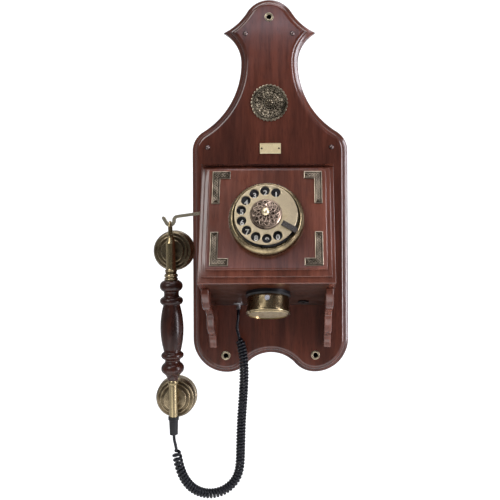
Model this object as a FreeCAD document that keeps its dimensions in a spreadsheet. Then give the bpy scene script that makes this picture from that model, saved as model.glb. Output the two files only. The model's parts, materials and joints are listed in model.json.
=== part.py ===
import FreeCAD, Part
import math
import os
from FreeCAD import Placement, Rotation, Vector

# A wall telephone in the old style, in millimetres. The back of its board is the plane Y = 0,
# the front faces -Y and Z is up. The origin is on the axis of the top fixing eyelet.

os.makedirs("parts", exist_ok=True)
doc = FreeCAD.newDocument("WallTelephone")

# ---------------------------------------------------------------- driving sizes
SIZES = [
    ("board_thickness", 18.0, "backboard, front to back"),
    ("board_top", 25.7, "crown above the top eyelet"),
    ("crown_radius", 35.4, "convex round of the crown"),
    ("crown_flare_radius", 77.0, "hollow above each side point"),
    ("point_flare_radius", 47.3, "hollow below each side point"),
    ("neck_half_width", 38.2, "narrowest place of the board"),
    ("neck_height", -59.7, "height of the narrowest place"),
    ("neck_flare_radius", 109.0, "hollow that widens to the shoulders"),
    ("shoulder_radius", 30.5, "convex round of each shoulder"),
    ("board_half_width", 104.7, "straight part of the board"),
    ("lower_corner_radius", 45.5, "outer lower corners"),
    ("lobe_radius", 36.0, "inner side of each lower lobe"),
    ("board_bottom", -477.5, "lowest point of the lobes"),
    ("arch_height", -451.1, "top of the arch between the lobes"),
    ("edge_step", 4.0, "each step of the moulded board edge"),
    ("eyelet_radius", 6.0, "flange of a fixing eyelet"),
    ("eyelet_bore", 2.8, "screw hole through an eyelet"),
    ("lower_eyelet_spread", 60.0, "lower eyelets from the middle"),
    ("lower_eyelet_height", -453.0, "height of the lower eyelets"),
    ("box_half_width", 82.0, "half the width of the box"),
    ("box_top", -201.0, "upper front edge of the box"),
    ("box_top_depth", 72.0, "upper front edge, from the board"),
    ("box_foot", -341.0, "lower front edge of the box"),
    ("box_foot_depth", 123.0, "lower front edge, from the board"),
    ("wall_thickness", 8.0, "wood of the box"),
    ("front_thickness", 12.0, "moulded front panel"),
    ("front_tier", 4.0, "each tier of the front panel"),
    ("plate_long_arm", 42.0, "upright arm of a corner plate"),
    ("plate_short_arm", 22.0, "level arm of a corner plate"),
    ("plate_arm_width", 9.5, "width of both arms"),
    ("plate_thickness", 1.6, "corner plate"),
    ("dial_height", 74.5, "dial axis above the lower edge of the panel"),
    ("wheel_radius", 36.9, "finger wheel"),
    ("wheel_thickness", 2.5, "finger wheel"),
    ("wheel_height", 22.5, "back of the finger wheel above the panel"),
    ("finger_circle", 29.4, "circle of the finger holes"),
    ("finger_hole", 5.7, "radius of a finger hole"),
    ("shaft_radius", 3.0, "dial shaft"),
    ("gear_module", 0.8, "dial gear and governor pinion"),
    ("gear_teeth", 48, "teeth of the dial gear"),
    ("pinion_teeth", 12, "teeth of the governor pinion"),
    ("ringer_radius", 26.0, "ringer cup"),
    ("ringer_height", 28.0, "ringer below the box"),
    ("ringer_forward", 67.0, "ringer axis, from the board"),
    ("bracket_thickness", 9.5, "side brackets under the box"),
    ("bracket_outside", 80.0, "outer face of a bracket"),
    ("handset_across", -122.7, "handset axis, across"),
    ("handset_forward", -78.0, "handset axis, from the wall"),
    ("handset_top", -270.9, "top of the handset eye"),
    ("handset_lean", 0.7, "lean of the handset, degrees"),
    ("cup_radius", 25.5, "ear and mouth cups"),
    ("ear_height", -38.8, "ear cup axis below the eye"),
    ("mouth_height", -226.3, "mouth cup axis below the eye"),
    ("eye_wire", 3.0, "wire of the handset eye"),
    ("hook_width", 4.0, "hook lever, seen from the front"),
    ("pivot_radius", 2.0, "hook pivot pin"),
    ("pivot_across", -58.0, "hook pivot"),
    ("pivot_height", -258.0, "hook pivot"),
    ("cord_thickness", 2.9, "telephone lead"),
    ("curl_thickness", 11.5, "outside of the curled lead"),
]
sheet = doc.addObject("Spreadsheet::Sheet", "Sizes")
for row, (alias, value, meaning) in enumerate(SIZES, start=1):
    sheet.set(f"A{row}", meaning)
    sheet.set(f"B{row}", str(value))
    sheet.setAlias(f"B{row}", alias)
doc.recompute()
size = {alias: float(getattr(sheet, alias)) for alias, value, meaning in SIZES}

RUNNING_GAP = 0.05  # radial play of a shaft in its hole
pieces = {}


# ---------------------------------------------------------------- ways to make a piece
def outline(start, *steps):
    """Closed edges in a plane: a pair is the end of a line, four numbers are an arc's middle and end."""
    edges = []
    here = Vector(start[0], start[1], 0)
    for step in [*steps, start]:
        there = Vector(step[-2], step[-1], 0)
        if len(step) == 4:
            middle = Vector(step[0], step[1], 0)
            edges.append(Part.Arc(here, middle, there))
        elif (there - here).Length > 1e-6:
            edges.append(Part.LineSegment(here, there))
        here = there
    return edges


def dome_step(radius, low, height):
    """The step of an outline that closes a round dome onto the axis."""
    ball = (radius**2 + height**2) / (2 * height)
    middle = (math.asin((ball - height) / ball) + math.pi / 2) / 2
    return ball * math.cos(middle), low + height - ball + ball * math.sin(middle), 0, low + height


def face_of(edges):
    return Part.Face(Part.Wire([edge.toShape() for edge in edges]))


def polygon(points):
    return Part.Face(Part.makePolygon([*points, points[0]]))


def sketch_in(body, role, edges, name):
    """A sketch on one of the body's own origin planes."""
    sketch = body.newObject("Sketcher::SketchObject", name)
    plane = next(item for item in body.Origin.OriginFeatures if item.Role == role)
    sketch.AttachmentSupport = [(plane, "")]
    sketch.MapMode = "FlatFace"
    for edge in edges:
        sketch.addGeometry(edge, False)
    return sketch


def new_body(name, place):
    body = doc.addObject("PartDesign::Body", name)
    body.Label = name
    body.Placement = place
    pieces[name] = body
    return body


def padded(name, role, edges, length, place=Placement()):
    """A body made by padding an outline; length is an expression in the sheet's names."""
    body = new_body(name, place)
    pad = body.newObject("PartDesign::Pad", name + "_pad")
    pad.Profile = sketch_in(body, role, edges, name + "_outline")
    pad.setExpression("Length", length)
    return body


def pocketed(body, role, edges, name, both_ways=True):
    """A pocket through everything, with a sketch on one of the body's origin planes."""
    pocket = body.newObject("PartDesign::Pocket", name)
    pocket.Profile = sketch_in(body, role, edges, name + "_outline")
    pocket.Type = "ThroughAll"
    pocket.Midplane = both_ways
    return pocket


def turned(name, edges, place=Placement()):
    """A body turned about its own Z axis from an outline of radius and height."""
    body = new_body(name, place)
    turn = body.newObject("PartDesign::Revolution", name + "_turn")
    sketch = sketch_in(body, "XZ_Plane", edges, name + "_outline")
    turn.Profile = sketch
    turn.ReferenceAxis = (sketch, ["V_Axis"])
    turn.Angle = 360
    return body


def made(name, shape, place=Placement()):
    """A piece whose shape neither a body nor a primitive gives."""
    piece = doc.addObject("Part::Feature", name)
    piece.Label = name
    piece.Shape = shape
    piece.Placement = place.multiply(shape.Placement)
    pieces[name] = piece
    return piece


def primitive(kind, name, place, **sizes):
    """A Part primitive whose sizes are expressions in the sheet's names."""
    piece = doc.addObject("Part::" + kind, name)
    piece.Label = name
    for what, expression in sizes.items():
        piece.setExpression(what, expression)
    piece.Placement = place
    pieces[name] = piece
    return piece


def rod(radius, start, end):
    """A plain round bar between two points."""
    along = end - start
    return Part.makeCylinder(radius, along.Length, start, along)


def block(low, high):
    return Part.makeBox(high.x - low.x, high.y - low.y, high.z - low.z, low)


def fused(shapes):
    whole = shapes[0].multiFuse(shapes[1:])
    return whole.removeSplitter()


def around(radius, count, first=0.0):
    """Points evenly spaced round a circle, as (x, y, angle in degrees)."""
    for step in range(count):
        angle = first + 360.0 * step / count
        turn = math.radians(angle)
        yield radius * math.cos(turn), radius * math.sin(turn), angle


# ---------------------------------------------------------------- frames of reference
BOARD_FRONT = -size["board_thickness"]
SLOPE = math.atan2(size["box_foot_depth"] - size["box_top_depth"], size["box_top"] - size["box_foot"])
PANEL_LENGTH = math.hypot(size["box_foot_depth"] - size["box_top_depth"], size["box_top"] - size["box_foot"])
PANEL_FOOT = Vector(0, BOARD_FRONT - size["box_foot_depth"], size["box_foot"])
OUT = Vector(0, -math.cos(SLOPE), math.sin(SLOPE))  # away from the front panel
UP = Vector(0, math.sin(SLOPE), math.cos(SLOPE))  # up along the front panel
PANEL_TURN = Rotation(Vector(1, 0, 0), 90 - math.degrees(SLOPE))
PANEL = Placement(PANEL_FOOT, PANEL_TURN)
DIAL = Placement(PANEL_FOOT + UP * size["dial_height"], PANEL_TURN)
FRONTWARD = Rotation(Vector(1, 0, 0), 90)  # turns a piece's own Z to the front
UNDERSIDE_TURN = Rotation(Vector(1, 0, 0), 180 - math.degrees(SLOPE))


def on_board(x, z, y=BOARD_FRONT):
    """The place of a piece that stands on the board and faces the front."""
    return Placement(Vector(x, y, z), FRONTWARD)


def under_box(x, forward):
    """The place of a piece that hangs square from the sloping underside of the box."""
    along = (size["box_foot_depth"] - forward) / math.cos(SLOPE)
    return Placement(PANEL_FOOT - OUT * along + Vector(x, 0, 0), UNDERSIDE_TURN)


# ---------------------------------------------------------------- backboard
def meet(first, first_radius, second, second_radius, pick):
    """The point where two circles cross, or nearly touch; pick chooses a side of the line of centres."""
    between = second - first
    gap = between.Length
    along = (first_radius**2 - second_radius**2 + gap**2) / (2 * gap)
    aside = math.sqrt(max(0.0, first_radius**2 - along**2))
    across = Vector(-between.y, between.x, 0) / gap
    return first + between / gap * along + across * aside * pick


def board_edges(inset):
    """The right half of the board's outline moved inward, as tangent arcs, then its mirror image."""
    crown = Vector(0, size["board_top"] - size["crown_radius"], 0)
    point = Vector(64.2, -19.9, 0)
    reach = size["crown_radius"] + size["crown_flare_radius"]
    flare = meet(crown, reach, point, size["crown_flare_radius"], 1)
    under = Vector(size["neck_half_width"] + size["point_flare_radius"], size["neck_height"], 0)
    neck = Vector(size["neck_half_width"] + size["neck_flare_radius"], size["neck_height"], 0)
    side = size["board_half_width"]
    reach = size["neck_flare_radius"] + size["shoulder_radius"]
    aside = neck.x - (side - size["shoulder_radius"])
    shoulder = Vector(side - size["shoulder_radius"], neck.y - math.sqrt(reach**2 - aside**2), 0)
    corner = Vector(side - size["lower_corner_radius"], size["board_bottom"] + size["lower_corner_radius"], 0)
    lobe = Vector(corner.x, size["board_bottom"] + size["lobe_radius"], 0)
    rise = size["arch_height"] - lobe.y
    arch_radius = (lobe.x**2 + rise**2 - size["lobe_radius"] ** 2) / (2 * (size["lobe_radius"] + rise))
    arch = Vector(0, size["arch_height"] - arch_radius, 0)
    grow = inset
    marks = [
        Vector(0, size["board_top"] - inset, 0),
        crown + (flare - crown).normalize() * (size["crown_radius"] - inset),
        meet(flare, size["crown_flare_radius"] + grow, under, size["point_flare_radius"] + grow, 1),
        Vector(under.x - size["point_flare_radius"] - grow, under.y, 0),
        shoulder + (neck - shoulder).normalize() * (size["shoulder_radius"] - inset),
        Vector(side - inset, shoulder.y, 0),
        Vector(side - inset, corner.y, 0),
        Vector(corner.x, size["board_bottom"] + inset, 0),
        lobe + (arch - lobe).normalize() * (size["lobe_radius"] - inset),
        Vector(0, size["arch_height"] + inset, 0),
    ]
    centres = [crown, flare, under, neck, shoulder, None, corner, lobe, arch]
    half = []
    for start, end, centre in zip(marks, marks[1:], centres):
        if centre is None:
            half.append((start, None, end))
            continue
        radius = (start - centre).Length
        middle = centre + ((start + end) / 2 - centre).normalize() * radius
        half.append((start, middle, end))
    mirrored = []
    for start, middle, end in reversed(half):
        flip = [Vector(-p.x, p.y, 0) if p else None for p in (end, middle, start)]
        mirrored.append(tuple(flip))
    edges = []
    for start, middle, end in half + mirrored:
        if middle is None:
            edges.append(Part.LineSegment(start, end))
        else:
            edges.append(Part.Arc(start, middle, end))
    return edges


EYELETS = [
    (0.0, 0.0),
    (-size["lower_eyelet_spread"], size["lower_eyelet_height"]),
    (size["lower_eyelet_spread"], size["lower_eyelet_height"]),
]
EYELET_BARREL = size["eyelet_bore"] + 0.8
INLET = (44.0, 22.0)  # place of the line inlet under the box: across, and from the board
CLAMP = (-41.6, 13.0)  # place of the cord clamp under the box


def backboard():
    edges = board_edges(0)
    body = padded("backboard", "XZ_Plane", edges, "Sizes.board_thickness - 2 * Sizes.edge_step")
    for tier in (1, 2):
        pad = body.newObject("PartDesign::Pad", f"backboard_tier_{tier}")
        pad.Profile = sketch_in(body, "XZ_Plane", board_edges(tier * size["edge_step"]), f"tier_{tier}")
        pad.setExpression("Length", f"Sizes.board_thickness - {2 - tier} * Sizes.edge_step")
    for number, (x, z) in enumerate(EYELETS, start=1):
        hole = Part.Circle(Vector(x, z, 0), Vector(0, 0, 1), EYELET_BARREL + RUNNING_GAP)
        pocketed(body, "XZ_Plane", [hole], f"eyelet_hole_{number}")


def wall_eyelets():
    bore = size["eyelet_bore"]
    rim = size["eyelet_radius"]
    ring = face_of(
        outline(
            (bore, 0),
            (EYELET_BARREL, 0),
            (EYELET_BARREL, size["board_thickness"]),
            (rim, size["board_thickness"]),
            (rim - 1.0, size["board_thickness"] + 1.4, bore, size["board_thickness"] + 0.8),
        )
    )
    ring.rotate(Vector(), Vector(1, 0, 0), 90)
    eyelet = ring.revolve(Vector(), Vector(0, 0, 1), 360)
    eyelet.rotate(Vector(), Vector(1, 0, 0), 90)
    made("wall_eyelets", Part.makeCompound([eyelet.translated(Vector(x, 0, z)) for x, z in EYELETS]))


def domed_nail(radius, height):
    """A nail head with its dome along +Z, standing on Z = 0."""
    ball = (radius**2 + height**2) / (2 * height)
    dome = Part.makeSphere(ball, Vector(0, 0, height - ball))
    return dome.common(Part.makeCylinder(radius * 1.2, height * 1.2))


def standing(shape, place):
    moved = shape.copy()
    moved.Placement = place
    return moved


def board_trim():
    """Domed nails, the round rosette and the blank name plate."""
    nail = domed_nail(3.3, 2.2)
    spots = [(-31.4, -22.0), (31.4, -22.0), (-83.0, -174.5), (83.0, -174.5)]
    made("board_nails", Part.makeCompound([standing(nail, on_board(x, z)) for x, z in spots]))

    radius = 25.0
    disc = face_of(outline((0, 0), (radius - 2, 0), (radius - 2, 1.4), (radius - 5, 2.4), (5, 1.8), (0, 1.8)))
    disc.rotate(Vector(), Vector(1, 0, 0), 90)
    solids = [disc.revolve(Vector(), Vector(0, 0, 1), 360)]
    for x, y, angle in around(radius - 2.0, 30):
        solids.append(Part.makeCylinder(2.0, 1.2, Vector(x, y, 0)))
    solids.append(Part.makeCone(5.0, 3.0, 3.4))
    made("rosette", fused(solids), on_board(0, -115.0))

    name_plate = primitive(
        "Box", "name_plate", Placement(), Length="28 mm", Width="1.2 mm", Height="14 mm"
    )
    name_plate.Placement = Placement(Vector(1.0 - 14.0, BOARD_FRONT - 1.2, -176.0 - 7.0), Rotation())


# ---------------------------------------------------------------- box
BACK_OF_FRONT = -size["front_thickness"]


def panel_point(y, z):
    """A point of the panel's own frame, as (Y, Z) of the telephone."""
    point = PANEL_FOOT + UP * y + OUT * z
    return point.y, point.z


def side_outline():
    """The side of the box in the Y, Z plane, behind the front panel."""
    top = size["box_top"]
    lip = panel_point(PANEL_LENGTH, 0)
    behind_top = panel_point(PANEL_LENGTH, BACK_OF_FRONT)
    behind_foot = panel_point(0, BACK_OF_FRONT)
    heel = PANEL_FOOT - OUT * (size["box_foot_depth"] / math.cos(SLOPE))
    return outline((BOARD_FRONT, top), (lip[0], top), behind_top, behind_foot, (heel.y, heel.z))


def box_sides():
    wall = size["wall_thickness"]
    half = size["box_half_width"]
    for name, x in (("left_side_panel", -half), ("right_side_panel", half - wall)):
        place = Placement(Vector(x, 0, 0), Rotation())
        body = padded(name, "YZ_Plane", side_outline(), "Sizes.wall_thickness", place)
        if name == "left_side_panel":
            y, z = size["handset_forward"], size["pivot_height"]
            slot = outline((y - 4, z - 10), (y + 4, z - 10), (y + 4, z + 7), (y - 4, z + 7))
            pocketed(body, "YZ_Plane", slot, "hook_slot")


def box_top():
    wall = size["wall_thickness"]
    top = size["box_top"]
    lip = panel_point(PANEL_LENGTH, 0)
    behind = panel_point(PANEL_LENGTH, BACK_OF_FRONT)
    down = (behind[1] - (top - wall)) / math.cos(SLOPE)
    inner = panel_point(PANEL_LENGTH - down, BACK_OF_FRONT)
    edges = outline((BOARD_FRONT, top), (lip[0], top), behind, inner, (BOARD_FRONT, top - wall))
    place = Placement(Vector(wall - size["box_half_width"], 0, 0), Rotation())
    padded("top_panel", "YZ_Plane", edges, "2 * (Sizes.box_half_width - Sizes.wall_thickness)", place)


def box_bottom():
    wall = size["wall_thickness"]
    heel = size["box_foot_depth"] / math.cos(SLOPE)
    shorter = wall * math.tan(SLOPE)
    outer_back = panel_point(0, -heel)
    inner_back = panel_point(wall, -heel + shorter)
    edges = outline(panel_point(0, BACK_OF_FRONT), outer_back, inner_back, panel_point(wall, BACK_OF_FRONT))
    place = Placement(Vector(wall - size["box_half_width"], 0, 0), Rotation())
    body = padded("bottom_panel", "YZ_Plane", edges, "2 * (Sizes.box_half_width - Sizes.wall_thickness)", place)
    doc.recompute()
    inlet = under_box(*INLET)
    inlet.Base = inlet.Base - place.Base
    drill = Part.makeCylinder(5.0, 3 * wall, Vector(0, 0, -2 * wall))
    drill.Placement = inlet
    cut = body.Shape.copy()
    cut.Placement = Placement()
    pieces.pop("bottom_panel")
    body.Label = "bottom_panel_blank"
    body.Visibility = False
    made("bottom_panel", cut.cut(drill), place)


def front_panel():
    """Three tiers of one plank: the lowest is the outer edge, the highest is the flat field."""
    half = size["box_half_width"]
    insets = [(0, 0, 0), (4.5, 7.0, 4.0), (10.5, 15.0, 8.0)]  # at the sides, the foot and the top
    place = PANEL.multiply(Placement(Vector(0, 0, BACK_OF_FRONT), Rotation()))
    body = new_body("front_panel", place)
    for number, (side, foot, top) in enumerate(insets):
        high = PANEL_LENGTH - top
        edges = outline((side - half, foot), (half - side, foot), (half - side, high), (side - half, high))
        pad = body.newObject("PartDesign::Pad", f"front_tier_{number}")
        pad.Profile = sketch_in(body, "XY_Plane", edges, f"front_outline_{number}")
        pad.setExpression("Length", f"{number + 1} * Sizes.front_tier")
    hole = Part.Circle(Vector(0, size["dial_height"], 0), Vector(0, 0, 1), size["shaft_radius"] + 2.0)
    pocketed(body, "XY_Plane", [hole], "shaft_hole")


def bracket_outline():
    """A console bracket in the Y, Z plane: a full upper lobe, a small ledge and a slimmer tail."""
    front = under_box(0, 94.0).Base
    front_y, front_z = front.y, front.z
    heel = PANEL_FOOT - OUT * (size["box_foot_depth"] / math.cos(SLOPE))
    return outline(
        (heel.y, heel.z),
        (front_y, front_z),
        (front_y - 1.0, front_z - 7.0),
        (-106.5, -371.5, -92.0, -381.0),
        (-77.0, -385.5, -65.0, -392.0),
        (-64.5, -396.0),
        (-57.5, -410.0, -45.0, -420.0),
        (-36.5, -426.5, -33.0, -437.0),
        (-32.0, -440.0),
        (heel.y, -440.0),
    )


def brackets():
    thick = size["bracket_thickness"]
    outside = size["bracket_outside"]
    for name, x in (("left_bracket", -outside), ("right_bracket", outside - thick)):
        padded(name, "YZ_Plane", bracket_outline(), "Sizes.bracket_thickness", Placement(Vector(x, 0, 0), Rotation()))


PLATE_SIDE = 67.0  # outer edges of the corner plates, from the middle
PLATE_FOOT = 18.8  # lower edge of the lower plates
PLATE_TOP = PANEL_LENGTH - 10.4  # upper edge of the upper plates


def corner_plates():
    long_arm = size["plate_long_arm"]
    short_arm = size["plate_short_arm"]
    width = size["plate_arm_width"]
    thick = size["plate_thickness"]
    nails = []
    for name, side, level in (
        ("upper_left_corner_plate", -1, 1),
        ("upper_right_corner_plate", 1, 1),
        ("lower_left_corner_plate", -1, -1),
        ("lower_right_corner_plate", 1, -1),
    ):
        x = side * PLATE_SIDE
        y = PLATE_TOP if level > 0 else PLATE_FOOT
        corners = [
            (x, y),
            (x - side * short_arm, y),
            (x - side * short_arm, y - level * width),
            (x - side * width, y - level * width),
            (x - side * width, y - level * long_arm),
            (x, y - level * long_arm),
        ]
        padded(name, "XY_Plane", outline(*corners), "Sizes.plate_thickness", PANEL)
        spots = [(short_arm - 3.2, width / 2), (width / 2, long_arm - 3.2)]
        for inward, down in spots:
            spot = Placement(Vector(x - side * inward, y - level * down, thick), Rotation())
            nails.append(standing(domed_nail(1.8, 1.1), PANEL.multiply(spot)))
    for x in (-10.5, 12.5):
        nails.append(standing(domed_nail(1.2, 0.7), on_board(x, -176.0, BOARD_FRONT - 1.2)))
    made("small_nails", Part.makeCompound(nails))


# ---------------------------------------------------------------- dial
FIRST_HOLE = 67.0  # the first finger hole, in degrees from the right, counted against the clock
HOLE_STEP = 25.7
STOP_ANGLE = -30.0
RIM_TOP = 17.51  # the highest place of the bezel's rolled rim


def dial_face():
    wheel = size["wheel_height"]
    radius = size["wheel_radius"]
    bezel = outline(
        (14.0, 0),
        (41.6, 0),
        (44.5, 2.8, 45.4, 7.0),
        (44.6, 12.0, 41.8, 16.2),
        (40.6, 17.5, 39.3, 16.6),
        (38.3, 15.0),
        (34.0, 15.0),
        (32.0, 3.0),
        (14.0, 3.0),
    )
    turned("dial_bezel", bezel, DIAL)
    plate = outline((5.0, 15.0), (radius + 0.6, 15.0), (radius + 0.6, 16.6), (5.0, 16.6))
    turned("number_plate", plate, DIAL)

    body = new_body("finger_wheel", DIAL.multiply(Placement(Vector(0, 0, wheel), Rotation())))
    pad = body.newObject("PartDesign::Pad", "wheel_pad")
    disc = [
        Part.Circle(Vector(), Vector(0, 0, 1), radius),
        Part.Circle(Vector(), Vector(0, 0, 1), size["shaft_radius"]),
    ]
    pad.Profile = sketch_in(body, "XY_Plane", disc, "wheel_outline")
    pad.setExpression("Length", "Sizes.wheel_thickness")
    for digit in range(10):
        turn = math.radians(FIRST_HOLE + HOLE_STEP * digit)
        centre = Vector(math.cos(turn), math.sin(turn), 0) * size["finger_circle"]
        circle = Part.Circle(centre, Vector(0, 0, 1), size["finger_hole"])
        pocketed(body, "XY_Plane", [circle], f"finger_hole_{digit}")

    top = wheel + size["wheel_thickness"]
    dome = outline((size["shaft_radius"], top), (19.0, top), (18.6, top + 2.2), (11.0, top + 6.6, 4.6, top + 8.6),
                   (size["shaft_radius"], top + 8.6))
    turned("dial_ornament", dome, DIAL)
    cap = outline((0, top + 8.6), (4.5, top + 8.6), dome_step(4.5, top + 8.6, 4.0))
    turned("dial_hub_cap", cap, DIAL)
    shaft = outline((0, -33.0), (size["shaft_radius"], -33.0), (size["shaft_radius"], top + 8.6), (0, top + 8.6))
    turned("dial_shaft", shaft, DIAL)


def finger_stop():
    """A bent strip that stands on the rim of the bezel and reaches over the wheel."""
    low = size["wheel_height"] + size["wheel_thickness"] + 1.0
    strip = fused(
        [
            block(Vector(22.0, -3.2, low), Vector(41.4, 3.2, low + 1.4)),
            block(Vector(39.6, -3.2, RIM_TOP), Vector(41.4, 3.2, low + 1.4)),
        ]
    )
    strip.rotate(Vector(), Vector(0, 0, 1), STOP_ANGLE)
    made("finger_stop", strip, DIAL)


def toothed(teeth, turned_by):
    """The outline of a gear with narrow straight teeth, so that a pair runs with plenty of play."""
    module = size["gear_module"]
    pitch = module * teeth / 2
    step = 2 * math.pi / teeth
    points = []
    for tooth in range(teeth):
        middle = turned_by + tooth * step
        for share, radius in (
            (-0.25, pitch - 1.1 * module),
            (-0.10, pitch + 0.7 * module),
            (0.10, pitch + 0.7 * module),
            (0.25, pitch - 1.1 * module),
        ):
            turn = middle + share * step
            points.append(Vector(radius * math.cos(turn), radius * math.sin(turn), 0))
    return polygon(points)


GEAR_BACK = -25.0
PLATES = (-14.0, -33.0)  # the two plates of the dial's frame
PLATE_DEEP = 2.0


def dial_works():
    """The frame behind the panel, the gear on the shaft, the governor and the return spring."""
    shaft = size["shaft_radius"]
    spread = size["gear_module"] * (size["gear_teeth"] + size["pinion_teeth"]) / 2
    pinion_at = Vector(-spread, 0, 0)
    frame = []
    for level in PLATES:
        plate = Part.makeCylinder(34.0, PLATE_DEEP, Vector(0, 0, level))
        plate = plate.cut(Part.makeCylinder(shaft + RUNNING_GAP, 60, Vector(0, 0, -50)))
        frame.append(plate.cut(Part.makeCylinder(1.5 + RUNNING_GAP, 60, pinion_at + Vector(0, 0, -50))))
    for x, y, angle in around(31.0, 3, 30.0):
        frame.append(Part.makeCylinder(2.0, PLATES[0] - PLATES[1], Vector(x, y, PLATES[1])))
    made("dial_frame", fused(frame), DIAL)

    gear = toothed(int(size["gear_teeth"]), 0.0).extrude(Vector(0, 0, 2.0))
    gear = gear.cut(Part.makeCylinder(shaft, 10, Vector(0, 0, -5)))
    gear.translate(Vector(0, 0, GEAR_BACK))
    made("dial_gear", gear, DIAL)

    half_tooth = math.pi / size["pinion_teeth"]
    pinion = toothed(int(size["pinion_teeth"]), half_tooth).extrude(Vector(0, 0, 3.0))
    pinion.translate(Vector(0, 0, GEAR_BACK - 0.5))
    axle = Part.makeCylinder(1.5, PLATES[0] + PLATE_DEEP - PLATES[1] - 0.2, Vector(0, 0, PLATES[1] + 0.1))
    vanes = block(Vector(-7.0, -1.5, -20.5), Vector(7.0, 1.5, -18.5))
    governor = fused([pinion, axle, vanes])
    made("governor", governor, DIAL.multiply(Placement(pinion_at, Rotation())))

    outer = []
    inner = []
    turns = 4
    for step in range(12 * turns + 1):
        turn = math.radians(30 * step)
        radius = 4.2 + 8.0 * step / (12 * turns)
        for points, reach in ((outer, radius + 0.25), (inner, radius - 0.25)):
            points.append(Vector(reach * math.cos(turn), reach * math.sin(turn), 0))
    spiral = polygon(outer + inner[::-1]).extrude(Vector(0, 0, 2.6))
    made("dial_return_spring", spiral, DIAL.multiply(Placement(Vector(0, 0, -31.0 + 0.4), Rotation())))

    base = block(Vector(9.0, -31.0, -31.0), Vector(21.0, -25.5, -14.0))
    made("pulse_contacts", base, DIAL)


# ---------------------------------------------------------------- ringer
def ringer():
    place = under_box(0, size["ringer_forward"])
    radius = size["ringer_radius"]
    height = size["ringer_height"]
    base = outline((0, 0), (radius + 2.0, 0), (radius + 2.0, 4.0), (radius, 5.5), (0, 5.5))
    turned("ringer_base", base, place)
    cup = outline(
        (radius - 2.4, 5.5),
        (radius - 0.6, 5.5),
        (radius, 8.0),
        (radius, height - 6.0),
        (radius + 1.6, height - 4.5),
        (radius + 1.6, height - 1.0),
        (radius + 0.8, height),
        (radius - 2.4, height),
    )
    turned("ringer_cup", cup, place)

    grille = Part.makeCylinder(radius - 2.5, 1.4, Vector(0, 0, height - 2.6))
    cutters = []
    for ring, count in ((9.0, 8), (16.0, 14)):
        for x, y, angle in around(ring, count):
            slot = block(Vector(ring - 2.2, -0.8, 0), Vector(ring + 2.2, 0.8, height + 5))
            slot.rotate(Vector(), Vector(0, 0, 1), angle)
            cutters.append(slot)
    made("ringer_grille", grille.cut(cutters), place)
    turned("ringer_sounder", outline((0, 5.5), (19.0, 5.5), (19.0, 15.0), (16.0, 17.0), (0, 17.0)), place)

    head = fused([Part.makeCylinder(3.0, 1.6), Part.makeCylinder(1.4, 4.4, Vector(0, 0, -2.3))])
    sideways = Placement(Vector(0, radius, 11.5), Rotation(Vector(1, 0, 0), -90))
    screw = standing(head, sideways)
    shell = pieces["ringer_cup"]
    doc.recompute()
    cup_shape = shell.Shape.copy()
    cup_shape.Placement = Placement()
    made("ringer_screw", screw.cut(cup_shape), place)


# ---------------------------------------------------------------- hook
HOOK_ROUND = 5.0  # centreline radius of the hook's U
EYE_PLAY = 0.45  # the round top of the eye bears on the edges of the flat hook
HOOK_LOW = size["handset_top"] - size["eye_wire"] - EYE_PLAY - size["hook_width"] / 2
UNHOOK = Vector(-0.5, 0, math.sqrt(0.75))  # the way in which the handset leaves the hook


def hook_lever():
    """A flat lever on a pin inside the box, with its hook outside, to the left."""
    pivot = Vector(size["pivot_across"], 0, size["pivot_height"])
    centre = Vector(size["handset_across"] - 0.1, 0, HOOK_LOW + HOOK_ROUND)
    right = centre + Vector(HOOK_ROUND, 0, 0)
    low = centre - Vector(0, 0, HOOK_ROUND)
    turn = math.radians(210)
    left = centre + Vector(math.cos(turn), 0, math.sin(turn)) * HOOK_ROUND
    tip = left + UNHOOK * 7.5
    elbow_in = Vector(-112.6, 0, -265.4)
    elbow_out = right + Vector(0, 0, 1.0)
    elbow = Vector(-116.4, 0, -266.9)
    tail = pivot + Vector(18.0, 0, 2.0)
    path = Part.Wire(
        [
            Part.LineSegment(tail, pivot).toShape(),
            Part.LineSegment(pivot, elbow_in).toShape(),
            Part.Arc(elbow_in, elbow, elbow_out).toShape(),
            Part.LineSegment(elbow_out, right).toShape(),
            Part.Arc(right, low, left).toShape(),
            Part.LineSegment(left, tip).toShape(),
        ]
    )
    band = Part.Face(path.makeOffset2D(size["hook_width"] / 2))
    strip = band.extrude(Vector(0, 4.0, 0))
    boss = rod(4.6, pivot, pivot + Vector(0, 4.0, 0))
    hole = rod(size["pivot_radius"] + RUNNING_GAP, pivot - Vector(0, 5, 0), pivot + Vector(0, 9, 0))
    lever = fused([strip, boss]).cut(hole)
    made("hook_lever", lever, Placement(Vector(0, size["handset_forward"] - 2.0, 0), Rotation()))


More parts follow.
